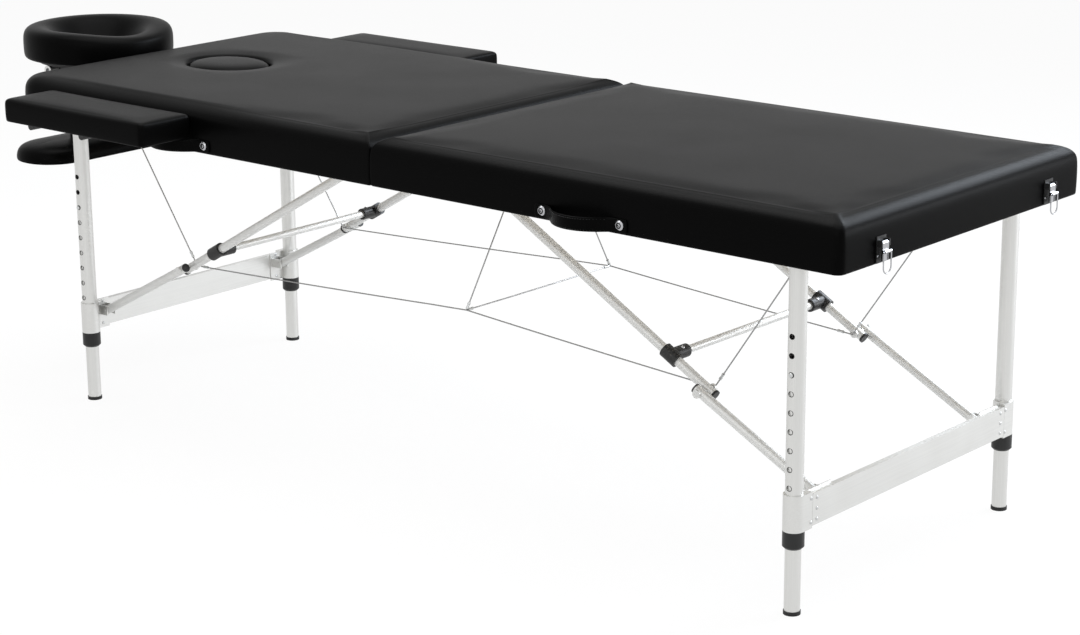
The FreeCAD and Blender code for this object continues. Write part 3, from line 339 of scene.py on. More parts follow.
LEATHER = leather_finish()
TUBE_METAL = metal_finish("satin_aluminium_tube", ALUMINIUM_TINT, 0.38, (700.0, 700.0, 5.0))
BAR_METAL = metal_finish("satin_aluminium_bar", ALUMINIUM_TINT, 0.42, (700.0, 5.0, 700.0))
UPPER_STRUT_METAL = strut_finish("satin_aluminium_upper_strut", 29.72, 1, 0.3915)
LOWER_STRUT_METAL = strut_finish("satin_aluminium_lower_strut", 27.71, -1, 0.3893)
ROD_METAL = metal_finish("satin_aluminium_rod", ALUMINIUM_TINT, 0.34, (5.0, 700.0, 700.0))
CHROME = metal_finish("polished_chrome", (0.44, 0.445, 0.46), 0.16, (160.0, 160.0, 160.0), 0.02)
ZINC = metal_finish("zinc_plated_steel", (0.55, 0.56, 0.56), 0.33, (90.0, 90.0, 90.0), 0.05, 0.06)
CABLE_STEEL = metal_finish("cable_steel", (0.33, 0.33, 0.33), 0.36, (90.0, 90.0, 90.0), 0.05, 0.06)
PLASTIC = moulded_finish("black_plastic", 0.010, 0.38)
RUBBER = moulded_finish("black_rubber", 0.012, 0.62, 500.0, 0.2)
THREAD = moulded_finish("black_thread", 0.012, 0.55, 2400.0, 0.3)
# Near-black matt finish of painted shade: the gaps round cup screws, their cross recesses and the insides of
# the adjusting holes.
SLOT_SHADE = moulded_finish("painted_recess_shade", 0.004, 0.7)
WEBBING = webbing_finish()
PLYWOOD = wood_finish("birch_plywood", (0.68, 0.64, 0.58, 1.0), (0.58, 0.535, 0.47, 1.0))
BEECH = wood_finish("beech_rail", (0.60, 0.53, 0.43, 1.0), (0.50, 0.42, 0.32, 1.0), 0.318)


# Meshes

def clamp(share):
    return min(1.0, max(0.0, share))


def full_turn(count):
    """Angles of even steps round a circle."""
    return [2 * math.pi * step / count for step in range(count)]


def oval(centre, half, angles):
    """Points of an oval in plan, from its half length and half width."""
    x, y = centre
    return [(x + half[0] * math.cos(angle), y + half[1] * math.sin(angle)) for angle in angles]


def flat_ring(mesh, points, z):
    return [mesh.verts.new((x, y, z)) for x, y in points]


def join_rings(mesh, lower, upper):
    """Quads between two rings of the same count."""
    count = len(lower)
    for step in range(count):
        after = (step + 1) % count
        mesh.faces.new((lower[step], lower[after], upper[after], upper[step]))


def next_ring(mesh, below, points, z):
    """A flat ring joined to the ring before it."""
    ring = flat_ring(mesh, points, z)
    join_rings(mesh, below, ring)
    return ring


def finish_mesh(name, mesh, material, smooth=True):
    """A linked object from a bmesh, with doubles merged and faces turned outward."""
    bmesh.ops.remove_doubles(mesh, verts=mesh.verts, dist=0.00002)
    bmesh.ops.dissolve_degenerate(mesh, dist=0.00001, edges=mesh.edges)
    bmesh.ops.recalc_face_normals(mesh, faces=mesh.faces)
    data = bpy.data.meshes.new(name)
    mesh.to_mesh(data)
    mesh.free()
    thing = bpy.data.objects.new(name, data)
    bpy.context.scene.collection.objects.link(thing)
    data.materials.append(material)
    for face in data.polygons:
        face.use_smooth = smooth
    return thing


def loft(name, rings, material):
    """A closed skin through rings of the same count."""
    mesh = bmesh.new()
    turns = [[mesh.verts.new(point) for point in ring] for ring in rings]
    for lower, upper in zip(turns, turns[1:]):
        join_rings(mesh, lower, upper)
    mesh.faces.new(turns[0][::-1])
    mesh.faces.new(turns[-1])
    return finish_mesh(name, mesh, material)


def bake_modifiers(thing):
    """Replaces an object's mesh by what its modifiers make of it."""
    graph = bpy.context.evaluated_depsgraph_get()
    graph.update()
    done = bpy.data.meshes.new_from_object(thing.evaluated_get(graph))
    thing.modifiers.clear()
    old = thing.data
    thing.data = done
    bpy.data.meshes.remove(old)


# Soft pieces

LEAST_CORNER = 0.012
NO_CELLS = ((0, 0), (0, 0))


class Plan:
    """A rectangle in plan with its own corner radius at each end."""

    def __init__(self, xs, ys, corners, cells, arc=4):
        self.xs = xs
        self.ys = ys
        self.corners = corners
        self.straight = cells
        self.arc = arc

    def counts(self):
        """Cells along x and along y of the patch that fills the outline."""
        return self.straight[0] + 2 * self.arc, self.straight[1] + 2 * self.arc

    def ring(self, inset):
        """Points of the outline drawn in by inset, from the middle of the low-x, low-y corner round."""
        x_low, x_high = self.xs[0] + inset, self.xs[1] - inset
        y_low, y_high = self.ys[0] + inset, self.ys[1] - inset
        low, high = (max(corner - inset, min(corner, LEAST_CORNER)) for corner in self.corners)
        places = [
            (x_low + low, y_low + low, low, 180), (x_high - high, y_low + high, high, 270),
            (x_high - high, y_high - high, high, 0), (x_low + low, y_high - low, low, 90),
        ]

        def on_corner(place, turn):
            x, y, radius, start = place
            angle = math.radians(start + turn)
            return (x + radius * math.cos(angle), y + radius * math.sin(angle))

        points = []
        for number, place in enumerate(places):
            after = places[(number + 1) % 4]
            run = self.straight[number % 2]
            first, last = on_corner(place, 90), on_corner(after, 0)
            points += [on_corner(place, 45 + 45 * step / self.arc) for step in range(self.arc)]
            points += [tuple(a + (b - a) * (step / run) for a, b in zip(first, last)) for step in range(run)]
            points += [on_corner(after, 45 * step / self.arc) for step in range(self.arc)]
        return points

    def patch(self, ring):
        """A grid of points that fills a ring, by blending its four sides."""
        wide, deep = self.counts()
        south = ring[:wide + 1]
        east = ring[wide:wide + deep + 1]
        north = ring[wide + deep:2 * wide + deep + 1][::-1]
        west = (ring[2 * wide + deep:] + ring[:1])[::-1]
        grid = []
        for i in range(wide + 1):
            u = i / wide
            column = []
            for j in range(deep + 1):
                v = j / deep
                column.append(tuple(
                    (1 - v) * south[i][axis] + v * north[i][axis]
                    + (1 - u) * west[j][axis] + u * east[j][axis]
                    - (1 - u) * (1 - v) * south[0][axis] - u * (1 - v) * south[-1][axis]
                    - (1 - u) * v * north[0][axis] - u * v * north[-1][axis]
                    for axis in (0, 1)
                ))
            grid.append(column)
        return grid


def border(i_span, j_span):
    """Grid spots round a block of cells, from its low corner."""
    (i_low, i_high), (j_low, j_high) = i_span, j_span
    spots = [(i, j_low) for i in range(i_low, i_high)] + [(i_high, j) for j in range(j_low, j_high)]
    spots += [(i, j_high) for i in range(i_high, i_low, -1)] + [(i_low, j) for j in range(j_high, j_low, -1)]
    return spots


def fill_patch(mesh, plan, rim, height, upward, open_cells=NO_CELLS):
    """Fills a ring with the plan's patch, all but its open cells. Gives the points round those."""
    wide, deep = plan.counts()
    grid = plan.patch([tuple(vert.co.xy) for vert in rim])
    verts = dict(zip(border((0, wide), (0, deep)), rim))
    (i_low, i_high), (j_low, j_high) = open_cells
    for i in range(wide + 1):
        for j in range(deep + 1):
            if (i, j) not in verts and not (i_low < i < i_high and j_low < j < j_high):
                x, y = grid[i][j]
                verts[i, j] = mesh.verts.new((x, y, height(x, y)))
    for i in range(wide):
        for j in range(deep):
            if i_low <= i < i_high and j_low <= j < j_high:
                continue
            corners = [verts[i, j], verts[i + 1, j], verts[i + 1, j + 1], verts[i, j + 1]]
            mesh.faces.new(corners if upward else corners[::-1])
    return [verts[spot] for spot in border(*open_cells)]


def raise_walls(mesh, plan, below, levels):
    """Walls from a ring through the plan's outline at each level. Gives the last ring."""
    for inset, z in levels:
        below = next_ring(mesh, below, plan.ring(inset), z)
    return below


def shoulder_levels(radius, top, steps):
    """Insets and heights over a rounded edge, from the upright wall to the flat top."""
    levels = []
    for step in range(1, steps + 1):
        angle = math.radians(90 * step / steps)
        levels.append((radius * (1 - math.cos(angle)), top - radius * (1 - math.sin(angle))))
    return levels


FOAM_WAVES = 7.0
FOAM_SEED = 3.1


def undulation(x, y, depth):
    """A slight unevenness of foam under leather."""
    return depth * noise.noise(Vector((x * FOAM_WAVES, y * FOAM_WAVES, FOAM_SEED)))


def crowned(plan, power, height):
    """Heights over the plan's patch. height is told each place and how far the crown swells there."""
    middle = [(low + high) / 2 for low, high in (plan.xs, plan.ys)]
    half = [(high - low) / 2 for low, high in (plan.xs, plan.ys)]

    def at(x, y):
        away = [min(1.0, abs(spot - centre) / reach) for spot, centre, reach in zip((x, y), middle, half)]
        return height(x, y, (1 - away[0] ** power) * (1 - away[1] ** power))

    return at


SETTLE_FRAMES = 20


def settle(thing, seam, blend, pressure, cap):
    """Lets a cover swell like cloth over its foam: held up to the height seam, free from blend above it.

    No point moves further than cap.
    """
    rest = [vert.co.copy() for vert in thing.data.vertices]
    held = thing.vertex_groups.new(name="held")
    for vert in thing.data.vertices:
        held.add([vert.index], 1.0 - clamp((vert.co.z - seam) / blend), "REPLACE")
    modifier = thing.modifiers.new("Settle", "CLOTH")
    cloth = modifier.settings
    cloth.quality = 6
    cloth.mass = 0.4
    cloth.vertex_group_mass = "held"
    cloth.tension_stiffness = 30
    cloth.compression_stiffness = 20
    cloth.shear_stiffness = 15
    cloth.bending_stiffness = 2.0
    cloth.use_pressure = True
    cloth.uniform_pressure_force = pressure
    cloth.effector_weights.gravity = 0.0
    modifier.collision_settings.use_collision = False
    scene = bpy.context.scene
    for number in range(1, SETTLE_FRAMES + 1):
        scene.frame_set(number)
    bake_modifiers(thing)
    scene.frame_set(1)
    thing.vertex_groups.clear()
    for vert, start in zip(thing.data.vertices, rest):
        move = vert.co - start
        if move.length > cap:
            vert.co = start + move * (cap / move.length)


def upholster(thing, body, nodes):
    """Smooths a finished cover, hangs it on what it rides on and hides the solids it stands for."""
    modifier = thing.modifiers.new("Smooth", "SUBSURF")
    modifier.levels = 1
    modifier.render_levels = 1
    bake_modifiers(thing)
    for face in thing.data.polygons:
        face.use_smooth = True
    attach(thing, body)
    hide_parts(*nodes)


PANEL_Y = (-0.340, 0.340)
PANEL_PLANS = {"head": ((-0.787, 0.1427), (0.060, 0.003)), "foot": ((0.1433, 1.073), (0.003, 0.014))}
PANEL_CELLS = (44, 30)
PANEL_TOP = 0.631
PANEL_LOW = 0.551
DECK_TOP = 0.6052
HEM = 0.016
HEM_THICK = 0.0012
HEM_LOW = PANEL_LOW - HEM_THICK
WALL_GAP = 0.0018
SHOULDER = 0.027
CROWN = 0.003
PANEL_LEVELS = [
    (HEM, PANEL_LOW), (HEM, HEM_LOW), (0.008, HEM_LOW - 0.0003), (0.002, HEM_LOW),
    (0.0004, PANEL_LOW + 0.0006), (0.0, PANEL_LOW + 0.004), (-0.0006, 0.575), (-0.0004, 0.598),
    *shoulder_levels(SHOULDER, PANEL_TOP, 7),
]
FACE_HOLE_CENTRE = (-0.559, 0.0)
FACE_HOLE_HALF = (0.0875, 0.0725)
FACE_HOLE_CELLS = ((6, 20), (13, 25))
FACE_HOLE_DIP = 0.0015
FACE_HOLE_EDGE = 0.011
FACE_HOLE_LIP = FACE_HOLE_EDGE + 0.004
FACE_HOLE_TOP = PANEL_TOP + CROWN * 0.9 - FACE_HOLE_DIP
FACE_HOLE_WALL = (0.613, DECK_TOP)
FACE_HOLE_STEPS = 5


def face_opening(mesh, rim, floor_rim, top_height):
    """The rounded, slightly dipped edge of the face hole and its wall down to the deck."""
    (middle_x, middle_y), (half_x, half_y) = FACE_HOLE_CENTRE, FACE_HOLE_HALF
    angles = [math.atan2((vert.co.y - middle_y) / half_y, (vert.co.x - middle_x) / half_x) for vert in rim]

    def outline(out):
        return oval(FACE_HOLE_CENTRE, (half_x + out, half_y + out), angles)

    start = [vert.co.xy.copy() for vert in rim]
    above = rim
    for share in (0.3, 0.55, 0.8, 1.0):
        ring = []
        for first, last in zip(start, outline(FACE_HOLE_LIP)):
            x, y = (first[axis] + (last[axis] - first[axis]) * share for axis in (0, 1))
            ring.append(mesh.verts.new((x, y, top_height(x, y) - FACE_HOLE_DIP * share ** 3)))
        join_rings(mesh, above, ring)
        above = ring
    for step in range(1, FACE_HOLE_STEPS + 1):
        angle = math.radians(90 * step / FACE_HOLE_STEPS)
        z = FACE_HOLE_TOP - FACE_HOLE_EDGE * (1 - math.cos(angle))
        above = next_ring(mesh, above, outline(FACE_HOLE_EDGE * (1 - math.sin(angle))), z)
    for z in FACE_HOLE_WALL:
        above = next_ring(mesh, above, outline(0.0), z)
    join_rings(mesh, above, floor_rim)


def panel_cover(name, xs, corners, open_cells):
    """Leather over foam on one half: closed all round, with its hem turned under the rails."""
    plan = Plan(xs, PANEL_Y, corners, PANEL_CELLS)
    top_height = crowned(
        plan, 4, lambda x, y, swell: PANEL_TOP + CROWN * swell + undulation(x, y, 0.0007) * swell,
    )
    mesh = bmesh.new()
    under = flat_ring(mesh, plan.ring(WALL_GAP), DECK_TOP)
    wall = flat_ring(mesh, plan.ring(WALL_GAP), PANEL_LOW + 0.0005)
    join_rings(mesh, wall, under)
    edge = raise_walls(mesh, plan, wall, PANEL_LEVELS)
    rim = fill_patch(mesh, plan, edge, top_height, True, open_cells)
    floor_rim = fill_patch(mesh, plan, under, lambda x, y: DECK_TOP, False, open_cells)
    if rim:
        face_opening(mesh, rim, floor_rim, top_height)
    return finish_mesh(name, mesh, LEATHER)


def make_panels():
    for label, open_cells in (("head", FACE_HOLE_CELLS), ("foot", NO_CELLS)):
        thing = panel_cover(f"{label}_upholstery", *PANEL_PLANS[label], open_cells)
        settle(thing, seam=0.612, blend=0.018, pressure=0.8, cap=0.002)
        upholster(thing, f"{label}_panel", [f"{label}_cover", f"{label}_foam"])


RING_CENTRE = (-0.940, 0.0)
RING_PROFILE = (
    (0.0440, 0.6062), (0.0900, 0.6060), (0.1250, 0.6060), (0.1390, 0.6062), (0.1445, 0.6075),
    (0.1468, 0.6110), (0.1476, 0.6180), (0.1479, 0.6300), (0.1479, 0.6420), (0.1470, 0.6520),
    (0.1440, 0.6596), (0.1385, 0.6646), (0.1300, 0.6672), (0.1200, 0.6679), (0.1100, 0.6672),
    (0.1000, 0.6640), (0.0900, 0.6576), (0.0800, 0.6484), (0.0700, 0.6380), (0.0600, 0.6276),
    (0.0510, 0.6180), (0.0460, 0.6110),
)
RING_TURNS = 96
CHIN_DIP = 0.011
CHIN_DIP_FROM = 0.625
CHIN_DIP_RISE = 0.043


def make_headrest_ring():
    """Ring cushion: upright outer wall, a crest that is lower at the chin, and a dished face opening."""
    mesh = bmesh.new()
    angles = full_turn(RING_TURNS)
    rings = []
    for radius, z in RING_PROFILE:
        depth = CHIN_DIP * max(0.0, (z - CHIN_DIP_FROM) / CHIN_DIP_RISE)
        rings.append([
            mesh.verts.new((x, y, z - depth * max(0.0, math.cos(angle)) ** 3))
            for (x, y), angle in zip(oval(RING_CENTRE, (radius, radius), angles), angles)
        ])
    for lower, upper in zip(rings, rings[1:] + rings[:1]):
        join_rings(mesh, lower, upper)
    thing = finish_mesh("headrest_ring", mesh, LEATHER)
    settle(thing, seam=0.608, blend=0.012, pressure=1.0, cap=0.003)
    upholster(thing, "headrest", ["headrest_cushion"])


def cushion(name, plan, levels, crown, depth):
    """A closed pad: lofted walls, a crowned top and a flat underside."""
    (low_inset, low), top = levels[0], levels[-1][1]
    top_height = crowned(plan, 3, lambda x, y, swell: top + (crown + undulation(x, y, depth)) * swell)
    mesh = bmesh.new()
    below = flat_ring(mesh, plan.ring(low_inset), low)
    fill_patch(mesh, plan, below, lambda x, y: low, False)
    edge = raise_walls(mesh, plan, below, levels[1:])
    fill_patch(mesh, plan, edge, top_height, True)
    return finish_mesh(name, mesh, LEATHER)


ARMREST_X = (-0.657, -0.282)
ARMREST_Y = (0.346, 0.462)
ARMREST_CORNERS = (0.009, 0.009)
ARMREST_LEVELS = [
    (0.006, 0.5772), (0.0018, 0.5774), (0.0004, 0.5795), (0.0, 0.592), (0.0, 0.608),
    *shoulder_levels(0.008, 0.6195, 5),
]
SHELF_X = (-0.962, -0.814)
SHELF_Y = (-0.240, 0.240)
SHELF_CORNERS = (0.072, 0.072)
SHELF_LEVELS = [
    (0.008, 0.4302), (0.002, 0.4303), (0.0003, 0.4318), (0.0, 0.4360), (0.0004, 0.4420), (0.0030, 0.4500),
    (0.0085, 0.4562), (0.0165, 0.4600), (0.0260, 0.4622), (0.0350, 0.4635), (0.0440, 0.4644),
    (0.0530, 0.4649), (0.0600, 0.4650),
]


def make_armrests():
    for label, side in SIDES.items():
        ys = sorted(side * y for y in ARMREST_Y)
        plan = Plan(ARMREST_X, ys, ARMREST_CORNERS, cells=(28, 8), arc=3)
        thing = cushion(f"armrest_cushion_{label}", plan, ARMREST_LEVELS, crown=0.0012, depth=0.0005)
        settle(thing, seam=0.580, blend=0.010, pressure=1.0, cap=0.0018)
        upholster(thing, f"{label}_armrest", [f"armrest_pad_{label}"])


def make_arm_shelf():
    plan = Plan(SHELF_X, SHELF_Y, SHELF_CORNERS, cells=(6, 36), arc=8)
    thing = cushion("arm_shelf_cushion", plan, SHELF_LEVELS, crown=0.0, depth=0.0)
    settle(thing, seam=0.434, blend=0.010, pressure=0.4, cap=0.0008)
    upholster(thing, "headrest_base", ["arm_shelf_pad"])


PLUG_HALF = (0.086, 0.071)
PLUG_PROFILE = (
    (0.90, 0.6052), (0.97, 0.6056), (0.995, 0.6090), (1.0, 0.6130), (0.998, 0.6175), (0.985, 0.6220),
    (0.955, 0.6260), (0.90, 0.6295), (0.80, 0.6322), (0.65, 0.6340), (0.45, 0.6349), (0.22, 0.6352),
)
PLUG_TOP = 0.6353
PLUG_TURNS = 72


def make_face_plug():
    """Loose oval plug with a domed top."""
    angles = full_turn(PLUG_TURNS)
    mesh = bmesh.new()
    rings = [
        flat_ring(mesh, oval(FACE_HOLE_CENTRE, [share * half for half in PLUG_HALF], angles), z)
        for share, z in PLUG_PROFILE
    ]
    for lower, upper in zip(rings, rings[1:]):
        join_rings(mesh, lower, upper)
    mesh.faces.new(rings[0][::-1])
    pole = mesh.verts.new((*FACE_HOLE_CENTRE, PLUG_TOP))
    for first, second in zip(rings[-1], rings[-1][1:] + rings[-1][:1]):
        mesh.faces.new((first, second, pole))
    thing = finish_mesh("face_plug_pad", mesh, LEATHER)
    upholster(thing, "face_plug", ["face_plug"])


# Handles, straps and cables

HANDLE_MIDDLES = {"head": -0.336, "foot": 0.595}
HANDLE_HALF = 0.092
HANDLE_Z = 0.564
HANDLE_BACK = -0.3402
HANDLE_STEPS = 64
HANDLE_SECTION = (
    (0.0, 0.0115), (0.55, 0.0108), (0.92, 0.0088), (1.0, 0.0060), (1.06, 0.0030), (1.08, 0.0),
    (1.06, -0.0030), (1.0, -0.0060), (0.92, -0.0088), (0.55, -0.0108), (0.0, -0.0115),
    (-0.6, -0.0105), (-0.9, -0.0070), (-1.0, 0.0), (-0.9, 0.0070), (-0.6, 0.0105),
)
BOW_RADIUS = 0.070
BOW_DROP = 0.040
BOW_BLEND = 0.007
TAB_HALF = 0.0013
PAD_HALF = 0.0017
PAD_END = 0.074
PAD_RUN = 0.020
TIP_START = 0.086
TIP_RUN = 0.006
TIP_NARROWING = 0.12
SLOPE_STEP = 0.001


def handle_line(along):
    """How far the strap stands from the panel and half its thickness: flat tabs, then a padded bow."""
    bow = math.sqrt(max(BOW_RADIUS ** 2 - along ** 2, 0.0)) - BOW_DROP
    lift = 0.5 * (bow + math.hypot(bow, BOW_BLEND))
    share = clamp((PAD_END - abs(along)) / PAD_RUN)
    return lift, TAB_HALF + PAD_HALF * share * share * (3 - 2 * share)


def handle_frame(middle, along):
    """Place on the strap's middle line, the way out from it and half its thickness there."""
    lift, half = handle_line(along)
    slope = (handle_line(along + SLOPE_STEP)[0] - handle_line(along - SLOPE_STEP)[0]) / (2 * SLOPE_STEP)
    outward = Vector((slope, -1.0, 0.0)).normalized()
    return Vector((middle + along, HANDLE_BACK - lift - half, HANDLE_Z)), outward, half


def make_handles():
    for end, middle in HANDLE_MIDDLES.items():
        rings = []
        for step in range(HANDLE_STEPS + 1):
            along = HANDLE_HALF * (2 * step / HANDLE_STEPS - 1)
            place, outward, half = handle_frame(middle, along)
            narrow = 1.0 - TIP_NARROWING * clamp((abs(along) - TIP_START) / TIP_RUN) ** 2
            rings.append([
                place + outward * (half * out) + Vector((0.0, 0.0, height * narrow))
                for out, height in HANDLE_SECTION
            ])
        strap = loft(f"{end}_handle_strap", rings, LEATHER)
        upholster(strap, f"{end}_panel", [f"{end}_handle"])


STRAP_X = (-0.902, -0.872)
STRAP_THICK = 0.0018
STRAP_LEG = (0.4652, 0.50, 0.54)
ROD_Z = 0.575
ROD_Y = 0.107
ROD_WRAP = 0.0085
WRAP_STEPS = 12


def make_straps():
    """Webbing slung over each headrest rod and sewn to the arm shelf at both of its ends."""
    angles = [math.radians(180 * step / WRAP_STEPS) for step in range(WRAP_STEPS + 1)]
    line = [(-1.0, z) for z in STRAP_LEG]
    line += [(-math.cos(angle), ROD_Z + ROD_WRAP * math.sin(angle)) for angle in angles]
    line += [(1.0, z) for z in STRAP_LEG[::-1]]
    for label, side in SIDES.items():
        mesh = bmesh.new()
        rows = [[mesh.verts.new((x, side * ROD_Y + ROD_WRAP * across, z)) for x in STRAP_X]
                for across, z in line]
        for first, second in zip(rows, rows[1:]):
            mesh.faces.new((first[0], first[1], second[1], second[0]))
        strap = finish_mesh(f"arm_shelf_strap_{label}", mesh, WEBBING)
        thick = strap.modifiers.new("Thickness", "SOLIDIFY")
        thick.thickness = STRAP_THICK
        thick.offset = 0.0
        edge = strap.modifiers.new("Edge", "BEVEL")
        edge.width = 0.0005
        edge.segments = 2
        bake_modifiers(strap)
        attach(strap, "headrest_base")
        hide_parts("arm_shelf_straps")


CABLE_RADIUS = 0.00125
CABLE_STEP = 0.0025
CABLE_LAY = 0.030
CABLE_LOBES = 12
CABLE_HOLLOW = 0.84
CABLE_SAG = 0.004
CABLE_Y = 0.192
KNEE = (0.6006, 0.2867)
ANCHOR = (0.815, 0.5995)
SEAM_Z = 0.3163
JUNCTION = (0.076, 0.320)
HANGER = (0.085, 0.027, 0.5995)


def cable_fixings(side):
    """Where one side's cables are fixed: knees and anchors of both ends, junction, seam and hanger."""
    y = side * CABLE_Y
    knees = {end: (HINGE_X + way * KNEE[0], y, KNEE[1]) for end, way in ENDS.items()}
    anchors = {end: (HINGE_X + way * ANCHOR[0], y, ANCHOR[1]) for end, way in ENDS.items()}
    junction = (HINGE_X + JUNCTION[0], y, JUNCTION[1])
    hanger = (HINGE_X + HANGER[0], side * HANGER[1], HANGER[2])
    return knees, anchors, junction, (HINGE_X, y, SEAM_Z), hanger


def read_route(points, resolution):
    """Points along a smooth route, read from its spline."""
    curve = bpy.data.curves.new("route", "CURVE")
    curve.dimensions = "3D"
    curve.resolution_u = resolution
    spline = curve.splines.new("NURBS")
    spline.points.add(len(points) - 1)
    for spot, point in zip(spline.points, points):
        spot.co = (*point, 1.0)
    spline.order_u = 3
    spline.use_endpoint_u = True
    guide = bpy.data.objects.new("route", curve)
    line = bpy.data.meshes.new_from_object(guide)
    found = [vert.co.copy() for vert in line.vertices]
    bpy.data.objects.remove(guide)
    bpy.data.curves.remove(curve)
    bpy.data.meshes.remove(line)
    return found


def strand_rings(points):
    """Six twisted strands round a line, as rings of its outline."""
    rings = []
    gone = 0.0
    for number, point in enumerate(points):
        ahead = (points[min(number + 1, len(points) - 1)] - points[max(number - 1, 0)]).normalized()
        sideways = ahead.orthogonal().normalized()
        upward = ahead.cross(sideways)
        if number:
            gone += (point - points[number - 1]).length
        ring = []
        for lobe in range(CABLE_LOBES):
            angle = 2 * math.pi * (lobe / CABLE_LOBES + gone / CABLE_LAY)
            radius = CABLE_RADIUS * (1.0 if lobe % 2 else CABLE_HOLLOW)
            ring.append(point + radius * (math.cos(angle) * sideways + math.sin(angle) * upward))
        rings.append(ring)
    return rings


def hang_cable(name, end, first, last):
    """One run of steel cable between two fixings, with the least sag."""
    first, last = Vector(first), Vector(last)
    middle = (first + last) / 2 - Vector((0.0, 0.0, CABLE_SAG * (last - first).length))
    points = read_route((first, middle, last), max(8, round((last - first).length / CABLE_STEP / 2)))
    cable = loft(name, strand_rings(points), CABLE_STEEL)
    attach(cable, f"{end}_panel")
    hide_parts(f"{end}_cables")
    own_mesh(cable)


def make_cables():
    junctions = []
    for label, side in SIDES.items():
        knees, anchors, junction, seam, hanger = cable_fixings(side)
        for end in ENDS:
            hang_cable(f"{end}_anchor_cable_{label}", end, anchors[end], knees[end])
        hang_cable(f"head_long_cable_{label}", "head", knees["head"], seam)
        hang_cable(f"foot_long_cable_{label}", "foot", knees["foot"], junction)
        hang_cable(f"foot_seam_cable_{label}", "foot", junction, seam)
        hang_cable(f"foot_hanger_cable_{label}", "foot", hanger, junction)
        junctions.append(junction)
    hang_cable("foot_cross_cable", "foot", *junctions)


# Small repeated fittings

def fitting_tree(name, sizes, shape):
    """A tree that sets one small shape on every point, its z along facing and its x along run."""
    wire, entry, leave = new_group(
        name, {"Geometry": "Geometry", "Material": "Material"} | dict.fromkeys(sizes, "Float"),
        ("Geometry",), "GeometryNodeTree", "Geometry",
    )
    facing, run = (
        wire.get("GeometryNodeInputNamedAttribute", {"Name": label}, data_type="FLOAT_VECTOR")
        for label in ("facing", "run")
    )
    upright = wire.get("FunctionNodeAlignRotationToVector", {"Vector": facing}, axis="Z")
    turned = wire.get(
        "FunctionNodeAlignRotationToVector", {"Rotation": upright, "Vector": run}, axis="X", pivot_axis="Z",
    )
    placed = wire.get("GeometryNodeInstanceOnPoints", {
        "Points": entry["Geometry"], "Instance": shape(wire, entry), "Rotation": turned,
    })
    solid = wire.get("GeometryNodeRealizeInstances", {"Geometry": placed})
    done = wire.get("GeometryNodeSetMaterial", {"Geometry": solid, "Material": entry["Material"]})
    wire.feed(leave, Geometry=done)
    return wire.tree


def ball(wire, segments, rings, scale, lift=(0.0, 0.0, 0.0)):
    """A smooth ball drawn out to three half sizes."""
    sphere = wire.get("GeometryNodeMeshUVSphere", {"Segments": segments, "Rings": rings, "Radius": 1.0})
    smooth = wire.get("GeometryNodeSetShadeSmooth", {"Geometry": sphere})
    return wire.get("GeometryNodeTransform", {"Geometry": smooth, "Scale": scale, "Translation": lift})


def joined(wire, shapes):
    both = wire.add("GeometryNodeJoinGeometry")
    for shape in shapes:
        wire.tree.links.new(shape, both.inputs[0])
    return both.outputs[0]


def rivet_shape(wire, sizes):
    return ball(wire, 12, 6, wire.whole(X=sizes["Radius"], Y=sizes["Radius"], Z=sizes["Height"]))


def stitch_shape(wire, sizes):
    half = sizes["Half width"]
    return ball(wire, 6, 4, wire.whole(X=sizes["Half length"], Y=half, Z=half))


def cup_screw_shape(wire, sizes):
    """A cup washer with an oval screw head standing in it."""
    radius, height = sizes["Radius"], sizes["Height"]
    cup = wire.get("GeometryNodeMeshCone", {
        "Vertices": 20, "Radius Bottom": radius, "Radius Top": wire.times(radius, 0.74), "Depth": height,
    })
    wide = wire.times(radius, 0.48)
    head = ball(wire, 14, 6, wire.whole(X=wide, Y=wide, Z=height), wire.whole(Z=wire.times(height, 0.45)))
    return joined(wire, (cup, head))


def bar_shape(wire, sizes):
    """A flat bar, for staples and for the arms of a screw's cross recess."""
    size = wire.whole(X=sizes["Length"], Y=sizes["Width"], Z=sizes["Thickness"])
    return wire.get("GeometryNodeMeshCube", {"Size": size})


def disc_shape(wire, sizes):
    return wire.get("GeometryNodeMeshCylinder", {
        "Vertices": 20, "Radius": sizes["Radius"], "Depth": sizes["Thickness"],
    })


def rim_shape(wire, sizes):
    """A thin ring."""
    line = wire.get("GeometryNodeCurvePrimitiveCircle", {"Resolution": 20, "Radius": sizes["Radius"]})
    section = wire.get("GeometryNodeCurvePrimitiveCircle", {"Resolution": 6, "Radius": sizes["Thickness"]})
    return wire.get("GeometryNodeCurveToMesh", {"Curve": line, "Profile Curve": section})


def ferrule_shape(wire, sizes):
    """A crimped sleeve: a barrel, waisted by the crimping tool."""
    barrels = []
    for place, wide in ((-0.34, 1.0), (0.0, 0.82), (0.34, 1.0)):
        barrel = wire.get("GeometryNodeMeshCylinder", {
            "Vertices": 12, "Radius": wire.times(sizes["Radius"], wide),
            "Depth": wire.times(sizes["Length"], 0.33),
        })
        lift = wire.whole(Z=wire.times(sizes["Length"], place))
        barrels.append(wire.get("GeometryNodeTransform", {"Geometry": barrel, "Translation": lift}))
    return joined(wire, barrels)


RIVETS = fitting_tree("rivets", ("Radius", "Height"), rivet_shape)
CUP_SCREWS = fitting_tree("cup_screws", ("Radius", "Height"), cup_screw_shape)
BARS = fitting_tree("flat_bars", ("Length", "Width", "Thickness"), bar_shape)
DISCS = fitting_tree("discs", ("Radius", "Thickness"), disc_shape)
RIMS = fitting_tree("rims", ("Radius", "Thickness"), rim_shape)
STITCHES = fitting_tree("stitches", ("Half length", "Half width"), stitch_shape)
FERRULES = fitting_tree("ferrules", ("Radius", "Length"), ferrule_shape)


